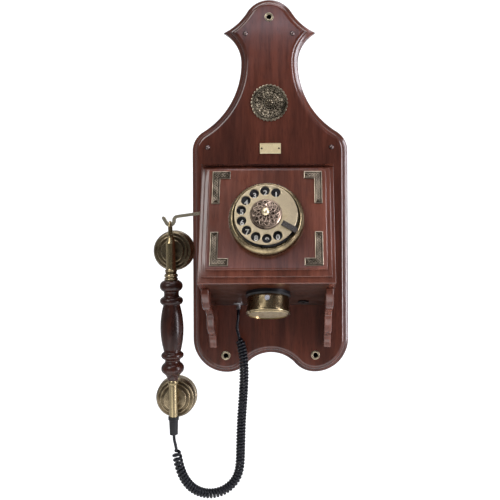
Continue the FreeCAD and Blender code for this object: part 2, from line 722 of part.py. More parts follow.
def hook_works():
    """The bracket and pin of the hook lever, its leaf spring and the switch under its tail."""
    x, z = size["pivot_across"], size["pivot_height"]
    y = size["handset_forward"]
    inside = size["wall_thickness"] - size["box_half_width"]
    plate = block(Vector(inside, y - 9, z - 16), Vector(inside + 1.5, y + 9, z + 11))
    plate = plate.cut(block(Vector(inside - 1, y - 4, z - 10), Vector(inside + 3, y + 4, z + 7)))
    ears = [
        block(Vector(inside, y + side * 5 - 1, z - 6), Vector(x + 6, y + side * 5 + 1, z + 6)) for side in (-1, 1)
    ]
    hole = rod(size["pivot_radius"] + RUNNING_GAP, Vector(x, y - 20, z), Vector(x, y + 20, z))
    made("hook_bracket", fused([plate, *ears]).cut(hole))
    primitive(
        "Cylinder",
        "hook_pin",
        Placement(Vector(x, y + 8.0, z), FRONTWARD),
        Radius="Sizes.pivot_radius",
        Height="16 mm",
    )
    leaf = block(Vector(inside + 1.5, y - 3, z - 15.5), Vector(x + 10, y + 3, z - 14.7))
    riser = block(Vector(x + 9.2, y - 3, z - 15.5), Vector(x + 10, y + 3, z - 5.5))
    made("hook_spring", fused([leaf, riser]))
    body = block(Vector(x + 13, y - 3, z - 22), Vector(x + 25, y + 9, z - 8))
    arm = block(Vector(x + 23, y - 3, z - 8), Vector(x + 25, y + 3, z + 8))
    made("hook_switch", fused([body, arm]))


# ---------------------------------------------------------------- handset
HANDSET = Placement(
    Vector(size["handset_across"], size["handset_forward"], size["handset_top"]),
    Rotation(Vector(0, 1, 0), -size["handset_lean"]),
)
TUBE = 6.0  # radius of the upper tube
LOWER_TUBE = 5.2


def handset_eye():
    """A wire stirrup on a tapered neck, seen edge-on from the front."""
    wire = size["eye_wire"] / 2
    top = -wire
    half = 7.0
    foot = -18.5
    path = Part.Wire(
        [
            Part.LineSegment(Vector(0, -half, foot), Vector(0, -half, top - half)).toShape(),
            Part.Arc(Vector(0, -half, top - half), Vector(0, 0, top), Vector(0, half, top - half)).toShape(),
            Part.LineSegment(Vector(0, half, top - half), Vector(0, half, foot)).toShape(),
        ]
    )
    ring = Part.Wire(Part.Circle(Vector(0, -half, foot), Vector(0, 0, 1), wire).toShape())
    loop = path.makePipeShell([ring], True, False)
    shoulder = rod(wire, Vector(0, -half, foot), Vector(0, half, foot))
    ends = [Part.makeSphere(wire, Vector(0, side * half, foot)) for side in (-1, 1)]
    neck = Part.makeCone(3.0, TUBE, 9.0, Vector(0, 0, -19.0), Vector(0, 0, -1))
    rim = Part.makeCylinder(TUBE, 1.0, Vector(0, 0, -29.0))
    made("handset_eye", fused([loop, shoulder, *ends, neck, rim]), HANDSET)


def handset_stem():
    """Tubes, collars, the turned wooden handle and the rubber sleeve, from the eye down."""
    turned("upper_tube", outline((3.5, -60.0), (TUBE, -60.0), (TUBE, -29.0), (3.5, -29.0)), HANDSET)
    collar = outline(
        (3.5, -74.5), (8.6, -74.5), (8.6, -66.0), (8.0, -64.6), (6.6, -63.0), (6.6, -60.0), (3.5, -60.0)
    )
    turned("upper_collar", collar, HANDSET)
    handle = outline(
        (3.0, -74.5),
        (9.6, -74.5),
        (14.2, -81.3, 9.8, -88.2),
        (9.1, -91.5, 10.0, -95.2),
        (14.3, -100.4, 10.2, -105.6),
        (14.3, -134.5, 10.4, -163.4),
        (13.2, -165.0),
        (13.9, -168.4, 13.2, -171.9),
        (9.3, -174.8, 10.6, -178.2),
        (14.2, -184.4, 11.0, -190.6),
        (7.8, -194.6, 5.8, -199.8),
        (3.0, -199.8),
    )
    turned("wooden_handle", handle, HANDSET)
    lower = outline((3.0, -204.8), (5.8, -204.8), (6.6, -202.4, 5.8, -199.8), (3.0, -199.8))
    turned("lower_collar", lower, HANDSET)
    tube = outline((3.0, -245.3), (LOWER_TUBE, -245.3), (LOWER_TUBE, -204.8), (3.0, -204.8))
    turned("lower_tube", tube, HANDSET)
    sleeve = outline((0, -267.5), (5.0, -267.5), (5.6, -250.0), (6.6, -249.0), (6.6, -245.3), (0, -245.3))
    turned("cord_sleeve", sleeve, HANDSET)


def cup_frame(height):
    """The place of a cup: its own Z points from the handset's axis to the wall."""
    return HANDSET.multiply(Placement(Vector(0, 0, height), Rotation(Vector(1, 0, 0), -90)))


def handset_cup(name, height, tube_radius):
    radius = size["cup_radius"]
    back = outline(
        (0, tube_radius - 3.0),
        (5.0, tube_radius - 3.0),
        (6.5, 9.0),
        (14.5, 9.6),
        (15.5, 11.4),
        (20.0, 12.6),
        (24.0, 14.6, radius, 19.0),
        (radius, 27.0),
        (radius - 2.0, 27.0),
        (radius - 2.0, 19.5),
        (19.0, 14.8),
        (0, 12.4),
    )
    shape = face_of(back)
    shape.rotate(Vector(), Vector(1, 0, 0), 90)
    shell = shape.revolve(Vector(), Vector(0, 0, 1), 360)
    shell = shell.cut(rod(tube_radius, Vector(0, -40, 0), Vector(0, 40, 0)))
    made(name + "_cup", shell, cup_frame(height))

    lid = outline(
        (0, 28.6),
        (10.0, 28.8),
        (21.0, 30.4),
        (radius - 1.5, 32.0),
        (radius + 0.3, 31.0),
        (radius + 0.3, 27.0),
        (radius - 3.0, 27.0),
        (radius - 3.0, 28.4),
        (19.0, 28.4),
        (9.0, 26.8),
        (0, 26.8),
    )
    face = face_of(lid)
    face.rotate(Vector(), Vector(1, 0, 0), 90)
    cap = face.revolve(Vector(), Vector(0, 0, 1), 360)
    drills = [Part.makeCylinder(1.1, 40, Vector(0, 0, 0))]
    for ring, count in ((5.0, 6), (9.5, 12)):
        for x, y, angle in around(ring, count):
            drills.append(Part.makeCylinder(1.1, 40, Vector(x, y, 0)))
    made(name + "_cap", cap.cut(drills), cup_frame(height))


def handset_inside():
    capsule = outline((0, 15.2), (17.5, 15.2), (19.5, 17.0), (19.5, 24.0), (17.0, 25.5), (0, 25.5))
    turned("receiver_capsule", capsule, cup_frame(size["ear_height"]))
    button = outline((0, 15.2), (14.0, 15.2), (16.0, 17.0), (16.0, 22.0), (13.0, 25.0), (0, 25.0))
    turned("microphone_capsule", button, cup_frame(size["mouth_height"]))


# ---------------------------------------------------------------- cord
def tube(name, points, thickness):
    """Straight runs joined by tangent arcs, each as large as its two runs allow."""
    edges = []
    here = points[0]
    length = 0.0
    radii = []
    for before, corner, after in zip(points, points[1:], points[2:]):
        back = (before - corner).normalize()
        on = (after - corner).normalize()
        half = (math.pi - back.getAngle(on)) / 2
        run = min((before - corner).Length, (after - corner).Length)
        trim = 0.45 * run
        radius = trim / math.tan(half)
        radii.append(radius)
        start = corner + back * trim
        end = corner + on * trim
        inward = (back + on).normalize()
        middle = corner + inward * (radius / math.cos(half) - radius)
        edges.append(Part.LineSegment(here, start).toShape())
        edges.append(Part.Arc(start, middle, end).toShape())
        length += (start - here).Length + radius * 2 * half
        here = end
    edges.append(Part.LineSegment(here, points[-1]).toShape())
    length += (points[-1] - here).Length
    path = Part.Wire(edges)
    circle = Part.Circle(points[0], points[1] - points[0], thickness / 2)
    shape = path.makePipeShell([Part.Wire(circle.toShape())], True, False)
    expected = math.pi * thickness**2 / 4 * length
    print(f"{name}: length {length:.1f}, volume ratio {shape.Volume / expected:.4f},",
          "radii in diameters", " ".join(f"{radius / thickness:.1f}" for radius in radii))
    made(name, shape)


SLEEVE_END = HANDSET.multVec(Vector(0, 0, -267.5))
CURL = [
    Vector(-39.5, -37.0, -425.0),
    Vector(-34.8, -38.5, -438.0),
    Vector(-31.8, -39.8, -454.0),
    Vector(-30.9, -40.2, -476.0),
    Vector(-32.3, -40.4, -503.0),
    Vector(-34.6, -41.0, -532.0),
    Vector(-35.6, -41.5, -560.0),
    Vector(-36.5, -42.5, -583.0),
    Vector(-38.5, -44.5, -597.2),
    Vector(-45.9, -47.5, -609.5),
    Vector(-57.5, -51.0, -618.9),
    Vector(-71.4, -55.5, -622.3),
    Vector(-86.0, -60.5, -619.6),
    Vector(-98.5, -65.5, -611.4),
    Vector(-107.1, -70.0, -598.9),
    Vector(-112.1, -74.0, -584.8),
    Vector(-115.0, -76.6, -570.6),
    Vector(-116.6, -77.6, -556.8),
]


def cord():
    place = under_box(*CLAMP)
    clamp = outline((0, 0), (6.5, 0), (6.5, 1.4), (3.6, 2.4), (3.2, 8.0), (0, 8.0))
    turned("cord_clamp", clamp, place)
    down = place.Rotation.multVec(Vector(0, 0, 1))
    start = place.Base + down * 8.0
    into = (CURL[1] - CURL[0]).normalize()
    lead = [start, start + down * 11.0, CURL[0] - into * 12.0, CURL[0]]
    tube("cord_lead", lead, size["cord_thickness"])
    tube("curly_cord", CURL, size["curl_thickness"])
    out = (CURL[-1] - CURL[-2]).normalize()
    upward = HANDSET.Rotation.multVec(Vector(0, 0, 1))
    tail = [CURL[-1], CURL[-1] + out * 6.0, SLEEVE_END - upward * 6.0, SLEEVE_END]
    tube("handset_lead", tail, size["cord_thickness"])


# ---------------------------------------------------------------- inside the box
def electrics():
    """The circuit board on the backboard, the line terminal and the rubber line inlet."""
    board = [block(Vector(-35, BOARD_FRONT - 6.6, -300), Vector(35, BOARD_FRONT - 5.0, -235))]
    for x in (-30.0, 30.0):
        for z in (-295.0, -240.0):
            board.append(rod(2.5, Vector(x, BOARD_FRONT, z), Vector(x, BOARD_FRONT - 5.2, z)))
    board.append(block(Vector(-20, BOARD_FRONT - 15, -290), Vector(4, BOARD_FRONT - 6.4, -268)))
    board.append(block(Vector(12, BOARD_FRONT - 12, -280), Vector(26, BOARD_FRONT - 6.4, -262)))
    made("circuit_board", fused(board))
    terminal = [block(Vector(30, BOARD_FRONT - 11, -340), Vector(58, BOARD_FRONT, -326))]
    made("line_terminal", terminal[0])
    place = under_box(*INLET)
    grommet = outline(
        (2.8, -10.0), (7.0, -10.0), (7.0, -8.1), (4.95, -8.1), (4.95, 0.0), (7.0, 0.0), (7.0, 2.0), (2.8, 2.0)
    )
    turned("line_grommet", grommet, place)


backboard()
wall_eyelets()
board_trim()
box_sides()
box_top()
box_bottom()
front_panel()
brackets()
corner_plates()
dial_face()
doc.recompute()
finger_stop()
dial_works()
ringer()
hook_lever()
hook_works()
handset_eye()
handset_stem()
handset_cup("ear", size["ear_height"], TUBE)
handset_cup("mouth", size["mouth_height"], LOWER_TUBE)
handset_inside()
cord()
electrics()
doc.recompute()

# ---------------------------------------------------------------- checks and export
for item in doc.Objects:
    if any(word in item.State for word in ("Invalid", "Error")):
        raise SystemExit(f"{item.Name} failed: {item.State}")
for name, piece in sorted(pieces.items()):
    shape = piece.Shape
    if shape.isNull() or not shape.isValid() or shape.Volume <= 0:
        raise SystemExit(f"{name} has no valid shape")
    shape.exportStep(f"parts/{name}.step")
print(len(pieces), "pieces written")
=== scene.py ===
# %% [markdown]
# # A wall telephone with a dial, a hooked handset and a curled lead
# The real object is a moulded mahogany board with a sloping box, aged brass fittings and a
# turned wooden handset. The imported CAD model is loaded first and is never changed: plain pieces
# keep their CAD shape and get a better finish, and the moulded, engraved and coiled ones are
# rebuilt here in its place.

# %% Load the frame
import cmath
import json
import math

import bmesh
import bpy
import numpy as np
from mathutils import Matrix, Vector


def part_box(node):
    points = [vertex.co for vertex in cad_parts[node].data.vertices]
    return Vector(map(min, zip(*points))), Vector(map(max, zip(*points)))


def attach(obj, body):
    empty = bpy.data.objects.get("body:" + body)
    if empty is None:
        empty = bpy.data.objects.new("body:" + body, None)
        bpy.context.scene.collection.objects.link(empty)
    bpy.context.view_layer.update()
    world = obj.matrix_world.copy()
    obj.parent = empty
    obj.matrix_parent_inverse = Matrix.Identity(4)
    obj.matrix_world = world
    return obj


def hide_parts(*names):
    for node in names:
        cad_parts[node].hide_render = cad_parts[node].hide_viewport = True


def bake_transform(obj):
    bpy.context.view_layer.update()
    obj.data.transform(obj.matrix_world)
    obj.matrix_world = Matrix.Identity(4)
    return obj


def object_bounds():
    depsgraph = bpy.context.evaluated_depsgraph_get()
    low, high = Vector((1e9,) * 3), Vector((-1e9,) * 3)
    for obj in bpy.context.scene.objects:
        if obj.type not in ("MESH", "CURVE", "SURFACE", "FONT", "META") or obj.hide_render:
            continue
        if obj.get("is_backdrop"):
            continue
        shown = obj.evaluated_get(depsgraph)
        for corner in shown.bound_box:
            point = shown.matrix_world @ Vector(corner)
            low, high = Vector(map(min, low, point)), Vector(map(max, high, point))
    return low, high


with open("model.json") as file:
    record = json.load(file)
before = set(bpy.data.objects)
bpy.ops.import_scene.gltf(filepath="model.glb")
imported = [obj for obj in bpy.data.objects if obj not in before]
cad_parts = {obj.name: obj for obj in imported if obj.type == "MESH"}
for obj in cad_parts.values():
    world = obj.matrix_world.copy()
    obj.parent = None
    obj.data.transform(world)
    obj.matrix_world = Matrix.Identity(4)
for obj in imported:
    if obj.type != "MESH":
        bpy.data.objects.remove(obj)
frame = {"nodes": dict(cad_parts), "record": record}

NODES = frame["nodes"]
CAD_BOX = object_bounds()
MM = 0.001
print("CAD box", [[round(v, 4) for v in corner] for corner in CAD_BOX])


# %% [markdown]
# ## Camera
# The telephone is seen square-on from 0.93 m in front of the board. A small shift frames it
# without tilting the camera, so the board's sides stay parallel.

# %% Camera
BOARD_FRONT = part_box("name_plate")[1].y  # the name plate lies on the board's front face
EYE = Vector((0.0363, BOARD_FRONT - 0.930, -0.252))
camera = bpy.data.objects.new("camera", bpy.data.cameras.new("camera"))
bpy.context.scene.collection.objects.link(camera)
camera.location = EYE
camera.rotation_euler = (math.radians(90), math.radians(0.3), 0)
camera.data.lens = 50
camera.data.sensor_width = 36
camera.data.shift_x = -0.094
camera.data.shift_y = -0.09
bpy.context.scene.camera = camera
print("camera at", [round(v, 3) for v in EYE])


# %% [markdown]
# ## Small tools for meshes
# A piece is built from rings of points. `skin` joins the rings with quads, and `finish_mesh`
# makes the object and smooths it, except for flat many-sided faces and edges that are sharp.

# %% Mesh tools
def stand(name, data, place=None):
    """Put a mesh, a light or a camera into the scene."""
    piece = bpy.data.objects.new(name, data)
    bpy.context.scene.collection.objects.link(piece)
    if place is not None:
        piece.matrix_world = place
    return piece


def mesh_of(curve):
    """The mesh of a curve or of a text, without the curve's own object."""
    carrier = bpy.data.objects.new(curve.name, curve)
    mesh = bpy.data.meshes.new_from_object(carrier)
    bpy.data.objects.remove(carrier)
    return mesh


def finish_mesh(name, points, faces, sharp=35, place=None):
    mesh = bpy.data.meshes.new(name)
    mesh.from_pydata([tuple(p) for p in points], [], faces)
    tidy = bmesh.new()
    tidy.from_mesh(mesh)
    bmesh.ops.remove_doubles(tidy, verts=tidy.verts, dist=1e-7)
    bmesh.ops.recalc_face_normals(tidy, faces=tidy.faces)
    tidy.to_mesh(mesh)
    tidy.free()
    mesh.polygons.foreach_set("use_smooth", [len(face.vertices) < 5 for face in mesh.polygons])
    mesh.set_sharp_from_angle(angle=math.radians(sharp))
    return stand(name, mesh, place)


def skin(rings, closed=True, ends=True):
    """The points of equally long rings in one list, and the faces between them."""
    count = len(rings[0])
    faces = []
    for ring in range(len(rings) - 1):
        for step in range(count if closed else count - 1):
            a = ring * count + step
            b = ring * count + (step + 1) % count
            faces.append((a, b, b + count, a + count))
    if ends:
        faces.append(tuple(range(count)))
        faces.append(tuple(range((len(rings) - 1) * count, len(rings) * count)))
    return [point for ring in rings for point in ring], faces


def lathe(name, profile, place, around=96, sharp=35):
    """A turned piece from a closed profile of (radius, height) in millimetres."""
    points = []
    rows = []
    for radius, height in profile:
        if radius < 0.001:
            rows.append([len(points)] * around)
            points.append((0, 0, height * MM))
            continue
        rows.append(list(range(len(points), len(points) + around)))
        for step in range(around):
            turn = 2 * math.pi * step / around
            points.append((radius * MM * math.cos(turn), radius * MM * math.sin(turn), height * MM))
    faces = []
    for low, high in zip(rows, rows[1:] + rows[:1]):
        for step in range(around):
            after = (step + 1) % around
            face = tuple(dict.fromkeys((low[step], low[after], high[after], high[step])))
            if len(face) > 2:
                faces.append(face)
    return finish_mesh(name, points, faces, sharp, place)


def arc(middle, radius, start, end, steps=8):
    """Points on an arc, from one angle to another in degrees."""
    turns = [math.radians(start + (end - start) * step / steps) for step in range(steps + 1)]
    return [(middle[0] + radius * math.cos(t), middle[1] + radius * math.sin(t)) for t in turns]


def arc_through(start, middle, end, steps=12):
    """Points on the arc from start to end that passes through middle."""
    a, b, c = (complex(*p) for p in (start, middle, end))
    skew = (b - a).conjugate() * (c - a)
    centre = a + 1j * ((b - a) * abs(c - a) ** 2 - (c - a) * abs(b - a) ** 2) / (2 * skew.imag)
    first = cmath.phase(a - centre)
    half_way, turn = ((cmath.phase(p - centre) - first) % (2 * math.pi) for p in (b, c))
    if half_way > turn:
        turn -= 2 * math.pi
    return arc((centre.real, centre.imag), abs(a - centre), math.degrees(first),
               math.degrees(first + turn), steps)


# %% [markdown]
# ## Frames of the sloping box
# The front panel leans back by 20 degrees, and the underside is square to it. Each matrix below
# stands a piece that is made flat onto its place: the board, the panel, the dial, the underside.

# %% Frames
BOX_TOP, BOX_FOOT = -0.201, -0.341
TOP_DEPTH, FOOT_DEPTH = 0.072, 0.123
SLOPE = math.atan2(FOOT_DEPTH - TOP_DEPTH, BOX_TOP - BOX_FOOT)
PANEL_LENGTH = math.hypot(FOOT_DEPTH - TOP_DEPTH, BOX_TOP - BOX_FOOT) / MM
FOOT = Vector((0, BOARD_FRONT - FOOT_DEPTH, BOX_FOOT))
OUT = Vector((0, -math.cos(SLOPE), math.sin(SLOPE)))
UP = Vector((0, math.sin(SLOPE), math.cos(SLOPE)))
ON_PANEL = Matrix.Rotation(math.radians(90) - SLOPE, 4, "X")
PANEL = Matrix.Translation(FOOT) @ ON_PANEL
DIAL = Matrix.Translation(FOOT + UP * 0.0745) @ ON_PANEL
FACING = Matrix.Rotation(math.radians(90), 4, "X")
HANDSET = Matrix.Translation((-0.1227, -0.078, -0.2709)) @ Matrix.Rotation(math.radians(-0.7), 4, "Y")


def on_board(x, z):
    return Matrix.Translation((x * MM, BOARD_FRONT, z * MM)) @ FACING


def under_box(x, forward):
    reach = (FOOT_DEPTH - forward * MM) / math.cos(SLOPE)
    base = FOOT - OUT * reach + Vector((x * MM, 0, 0))
    return Matrix.Translation(base) @ Matrix.Rotation(math.radians(180) - SLOPE, 4, "X")


def cup_frame(height):
    """The place of a cup on the handset: its own Z points to the wall."""
    return HANDSET @ Matrix.Translation((0, 0, height * MM)) @ Matrix.Rotation(math.radians(-90), 4, "X")


print(f"slope {math.degrees(SLOPE):.1f} degrees, panel {PANEL_LENGTH:.1f} mm long")


# %% [markdown]
# ## The lead: its route
# A thin lead leaves a clamp under the box, becomes a tight coil that hangs in a loop, and climbs
# as a thin lead into the rubber sleeve of the handset. Its route is one smooth spline. It follows
# the CAD part, with the long straight run of the coil up to 3 mm further to the left.

# %% Route of the lead
ROUTE = [
    (-0.0416, -0.0337, -0.3895),
    (-0.0416, -0.0375, -0.3998),
    (-0.0437, -0.0357, -0.4138),
    (-0.0405, -0.0370, -0.4250),
    (-0.0368, -0.0385, -0.4380),
    (-0.0344, -0.0398, -0.4540),
    (-0.0339, -0.0402, -0.4760),
    (-0.0355, -0.0404, -0.5030),
    (-0.0378, -0.0410, -0.5320),
    (-0.0388, -0.0415, -0.5600),
    (-0.0393, -0.0425, -0.5830),
    (-0.0405, -0.0445, -0.5972),
    (-0.0459, -0.0475, -0.6095),
    (-0.0575, -0.0510, -0.6189),
    (-0.0714, -0.0555, -0.6223),
    (-0.0860, -0.0605, -0.6196),
    (-0.0985, -0.0655, -0.6114),
    (-0.1071, -0.0700, -0.5989),
    (-0.1121, -0.0740, -0.5848),
    (-0.1150, -0.0766, -0.5706),
    (-0.1166, -0.0776, -0.5568),
    (-0.1176, -0.0780, -0.5510),
    (-0.1193, -0.0780, -0.5444),
    (-0.1194, -0.0780, -0.5384),
]


def spline_points(name, points):
    """The points along a smooth spline with these control points."""
    curve = bpy.data.curves.new(name, "CURVE")
    curve.dimensions = "3D"
    curve.resolution_u = 24
    spline = curve.splines.new("NURBS")
    spline.points.add(len(points) - 1)
    for point, place in zip(spline.points, points):
        point.co = (*place, 1)
    spline.order_u = 3
    spline.use_endpoint_u = True
    line = mesh_of(curve)
    places = np.array([v.co for v in line.vertices])
    bpy.data.meshes.remove(line)
    return places


def length_along(places):
    return np.concatenate([[0], np.cumsum(np.linalg.norm(np.diff(places, axis=0), axis=1))])


route = spline_points("lead_route", ROUTE)
reach = length_along(route)
print(f"route {reach[-1]:.3f} m long, lowest at {route[:, 2].min():.3f} m")


# %% [markdown]
# ## The lead: its wire
# The coil is one wire wound round the route. Walking along the route with a frame that turns as
# little as possible gives the middle of each turn; the wire's own rings then follow the wound
# line. Near both ends the winding closes down to the plain lead.

# %% Wire of the lead
WIRE = 3.8 * MM
COIL = 12.4 * MM
PITCH = 4.1 * MM
LOOSE_PITCH = 6.2 * MM
LOOSE_RUN = 0.060  # the last turns near the handset are pulled apart
CLOSING = 7 * MM  # over this distance the coil closes down to the plain lead
COIL_START = reach[np.argmin(np.linalg.norm(route - ROUTE[3], axis=1))]
COIL_END = reach[np.argmin(np.linalg.norm(route - ROUTE[-4], axis=1))]


def least_turning_frames(places):
    """A direction square to the line at each of its points, turned as little as possible."""
    along = np.gradient(places, axis=0)
    along /= np.linalg.norm(along, axis=1)[:, None]
    side = np.cross(along[0], (0, 1, 0))
    sides = []
    for direction in along:
        side = side - direction * (side @ direction)
        side = side / np.linalg.norm(side)
        sides.append(side)
    return along, np.array(sides)


def wound_line():
    """The centre line of the wire: straight, wound round the route, and straight again."""
    turns = (COIL_END - COIL_START) / PITCH
    before = np.linspace(0, COIL_START, 32, endpoint=False)
    coil = np.linspace(COIL_START, COIL_END, int(turns * 22), endpoint=False)
    after = np.linspace(COIL_END, reach[-1], 18)
    stations = np.concatenate([before, coil, after])
    centre = np.stack([np.interp(stations, reach, route[:, axis]) for axis in range(3)], axis=1)
    along, side = least_turning_frames(centre)
    other = np.cross(along, side)
    slack = np.clip((stations - (COIL_END - LOOSE_RUN)) / LOOSE_RUN, 0, 1)
    rate = 1 / (PITCH + (LOOSE_PITCH - PITCH) * slack)
    steps = np.diff(stations, prepend=stations[0])
    turn = 2 * np.pi * np.cumsum(steps * rate * (stations > COIL_START))
    opening = np.clip((stations - COIL_START) / CLOSING, 0, 1)
    opening = opening * np.clip((COIL_END - stations) / CLOSING, 0, 1)
    radius = (COIL - WIRE) / 2 * opening * opening * (3 - 2 * opening)
    return centre + radius[:, None] * (np.cos(turn)[:, None] * side + np.sin(turn)[:, None] * other)


def wire_tube(name, line, thickness, around=10):
    along, side = least_turning_frames(line)
    other = np.cross(along, side)
    rings = []
    for place, first, second in zip(line, side, other):
        turns = [2 * math.pi * step / around for step in range(around)]
        rings.append([place + thickness / 2 * (math.cos(t) * first + math.sin(t) * second) for t in turns])
    return finish_mesh(name, *skin(rings), sharp=60)


wire_line = wound_line()
telephone_lead = wire_tube("telephone_lead", wire_line, WIRE)

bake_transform(telephone_lead)
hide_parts("cord_lead", "curly_cord", "handset_lead")


# %% [markdown]
# ## Finishes: one group for wood
# Every wooden piece is the same stained mahogany under lacquer; the much darker copy on the box's underside
# is painted shade. One node group gives its colour, its gloss and its fine pores, and each material passes
# its own stain and the way its grain runs.
# `Stretch` says how quickly the pattern changes along X, Y and Z: a small number is along the grain.

# %% Node helpers
def node_group(name, inputs, outputs):
    """An empty shader group with its sockets; inputs are (name, kind, value)."""
    tree = bpy.data.node_groups.new(name, "ShaderNodeTree")
    for label, kind, value in inputs:
        socket = tree.interface.new_socket(label, in_out="INPUT", socket_type=f"NodeSocket{kind}")
        socket.default_value = value
    for label, kind in outputs:
        tree.interface.new_socket(label, in_out="OUTPUT", socket_type=f"NodeSocket{kind}")
    return tree, tree.nodes.new("NodeGroupInput"), tree.nodes.new("NodeGroupOutput")


def add(tree, kind, links=None, **settings):
    """Add a node, set its properties, and feed its inputs with values or other sockets."""
    node = tree.nodes.new("ShaderNode" + kind)
    for key, value in settings.items():
        setattr(node, key, value)
    for key, value in (links or {}).items():
        if isinstance(value, bpy.types.NodeSocket):
            tree.links.new(value, node.inputs[key])
        else:
            node.inputs[key].default_value = value
    return node


def ramp(tree, fac, stops):
    """A colour ramp from (position, grey or colour) stops."""
    node = add(tree, "ValToRGB", {"Fac": fac})
    marks = node.color_ramp.elements
    while len(marks) < len(stops):
        marks.new(0.5)
    for mark, (position, colour) in zip(marks, stops):
        mark.position = position
        mark.color = (colour, colour, colour, 1) if isinstance(colour, float) else (*colour, 1)
    return node.outputs["Color"]


def mix(tree, fac, a, b, blend="MIX"):
    node = add(tree, "Mix", data_type="RGBA", blend_type=blend)
    for key, value in ((0, fac), (6, a), (7, b)):
        if isinstance(value, bpy.types.NodeSocket):
            tree.links.new(value, node.inputs[key])
        else:
            node.inputs[key].default_value = value if key == 0 else (*value, 1)
    return node.outputs[2]


def between(tree, value, low, high, start=0.0, end=1.0):
    """Map a value that runs from start to end onto low to high."""
    links = {"Value": value, "From Min": start, "From Max": end, "To Min": low, "To Max": high}
    return add(tree, "MapRange", links).outputs["Result"]


def object_place(tree):
    return add(tree, "TexCoord").outputs["Object"]


# %% Wood group
def make_wood_group():
    tree, give, take = node_group(
        "stained_wood",
        [
            ("Dark", "Color", (0.03, 0.008, 0.006, 1)),
            ("Light", "Color", (0.15, 0.04, 0.025, 1)),
            ("Stretch", "Vector", (26.0, 26.0, 2.4)),
            ("Gloss", "Float", 0.16),
        ],
        [("Color", "Color"), ("Roughness", "Float"), ("Height", "Float")],
    )
    links = {0: object_place(tree), 1: give.outputs["Stretch"]}
    grain = add(tree, "VectorMath", links, operation="MULTIPLY").outputs[0]
    figure = add(tree, "TexNoise", {"Vector": grain, "Scale": 1.0, "Detail": 4.0, "Distortion": 0.7})
    streak = add(tree, "TexNoise", {"Vector": grain, "Scale": 7.0, "Detail": 6.0, "Roughness": 0.65})
    pores = add(tree, "TexNoise", {"Vector": grain, "Scale": 34.0, "Detail": 2.0})
    body = mix(tree, ramp(tree, figure.outputs["Fac"], [(0.32, 0.0), (0.72, 1.0)]),
               give.outputs["Dark"], give.outputs["Light"])
    lines = ramp(tree, streak.outputs["Fac"], [(0.34, 0.62), (0.66, 1.22)])
    body = mix(tree, 0.8, body, lines, "MULTIPLY")
    specks = ramp(tree, pores.outputs["Fac"], [(0.30, 0.45), (0.42, 1.0)])
    body = mix(tree, 0.55, body, specks, "MULTIPLY")
    tree.links.new(body, take.inputs["Color"])
    haze = add(tree, "TexNoise", {"Vector": object_place(tree), "Scale": 55.0, "Detail": 3.0})
    spread = between(tree, haze.outputs["Fac"], 0.75, 1.35, 0.3, 0.7)
    rough = add(tree, "Math", {0: give.outputs["Gloss"], 1: spread}, operation="MULTIPLY")
    tree.links.new(rough.outputs[0], take.inputs["Roughness"])
    tree.links.new(specks, take.inputs["Height"])
    return tree


WOOD = make_wood_group()


def principled(name):
    material = bpy.data.materials.new(name)
    material.use_nodes = True
    tree = material.node_tree
    return material, tree, tree.nodes["Principled BSDF"]


def place_group(tree, group, values):
    node = tree.nodes.new("ShaderNodeGroup")
    node.node_tree = group
    for key, value in values.items():
        is_colour = group.interface.items_tree[key].socket_type == "NodeSocketColor"
        node.inputs[key].default_value = (*value, 1) if is_colour else value
    return node


def feed(tree, shader, group_node, bump, distance):
    """Join a finish group's colour, roughness and height to the shader."""
    tree.links.new(group_node.outputs["Color"], shader.inputs["Base Color"])
    tree.links.new(group_node.outputs["Roughness"], shader.inputs["Roughness"])
    links = {"Height": group_node.outputs["Height"], "Strength": bump, "Distance": distance}
    relief = add(tree, "Bump", links)
    tree.links.new(relief.outputs["Normal"], shader.inputs["Normal"])


def wood_material(name, dark, light, stretch, gloss, coat=0.25, specular=0.5):
    material, tree, shader = principled(name)
    node = place_group(tree, WOOD, {"Dark": dark, "Light": light, "Stretch": stretch, "Gloss": gloss})
    feed(tree, shader, node, 0.12, 0.0003)
    shader.inputs["Coat Weight"].default_value = coat
    shader.inputs["Specular IOR Level"].default_value = specular
    shader.inputs["Coat Roughness"].default_value = 0.08
    return material


ALONG_X = (2.4, 26.0, 26.0)
ALONG_Y = (26.0, 2.4, 26.0)
ALONG_Z = (26.0, 26.0, 2.4)
WOODS = {
    "mahogany": ((0.058, 0.0170, 0.0110), (0.150, 0.041, 0.0235), ALONG_Z, 0.17),
    "box_mahogany": ((0.086, 0.0260, 0.0165), (0.200, 0.061, 0.036), ALONG_Z, 0.20),
    "panel_mahogany": ((0.086, 0.0260, 0.0165), (0.200, 0.061, 0.036), ALONG_Y, 0.20),
    # The underside's colours, much darker than the box's, are painted shade.
    "underside_painted_shade": ((0.030, 0.0080, 0.0035), (0.072, 0.019, 0.007), ALONG_X, 0.40, 0.05, 0.20),
    "handle_wood": ((0.014, 0.0052, 0.0040), (0.062, 0.017, 0.010), (60.0, 60.0, 8.0), 0.26, 0.10, 0.30),
}
FINISHES = {slot: wood_material(slot + "_finish", *values) for slot, values in WOODS.items()}
print("wood finishes:", ", ".join(sorted(FINISHES)))


# %% [markdown]
# ## Finishes: one group for old metal
# Brass darkens in its hollows and stays bright where hands rub it. The group mixes a dark patina
# over bright metal: the curvature of the surface decides most of it, and noise breaks it up. The
# same group with other colours is the bronze relief, the polished brass and the plated steel.

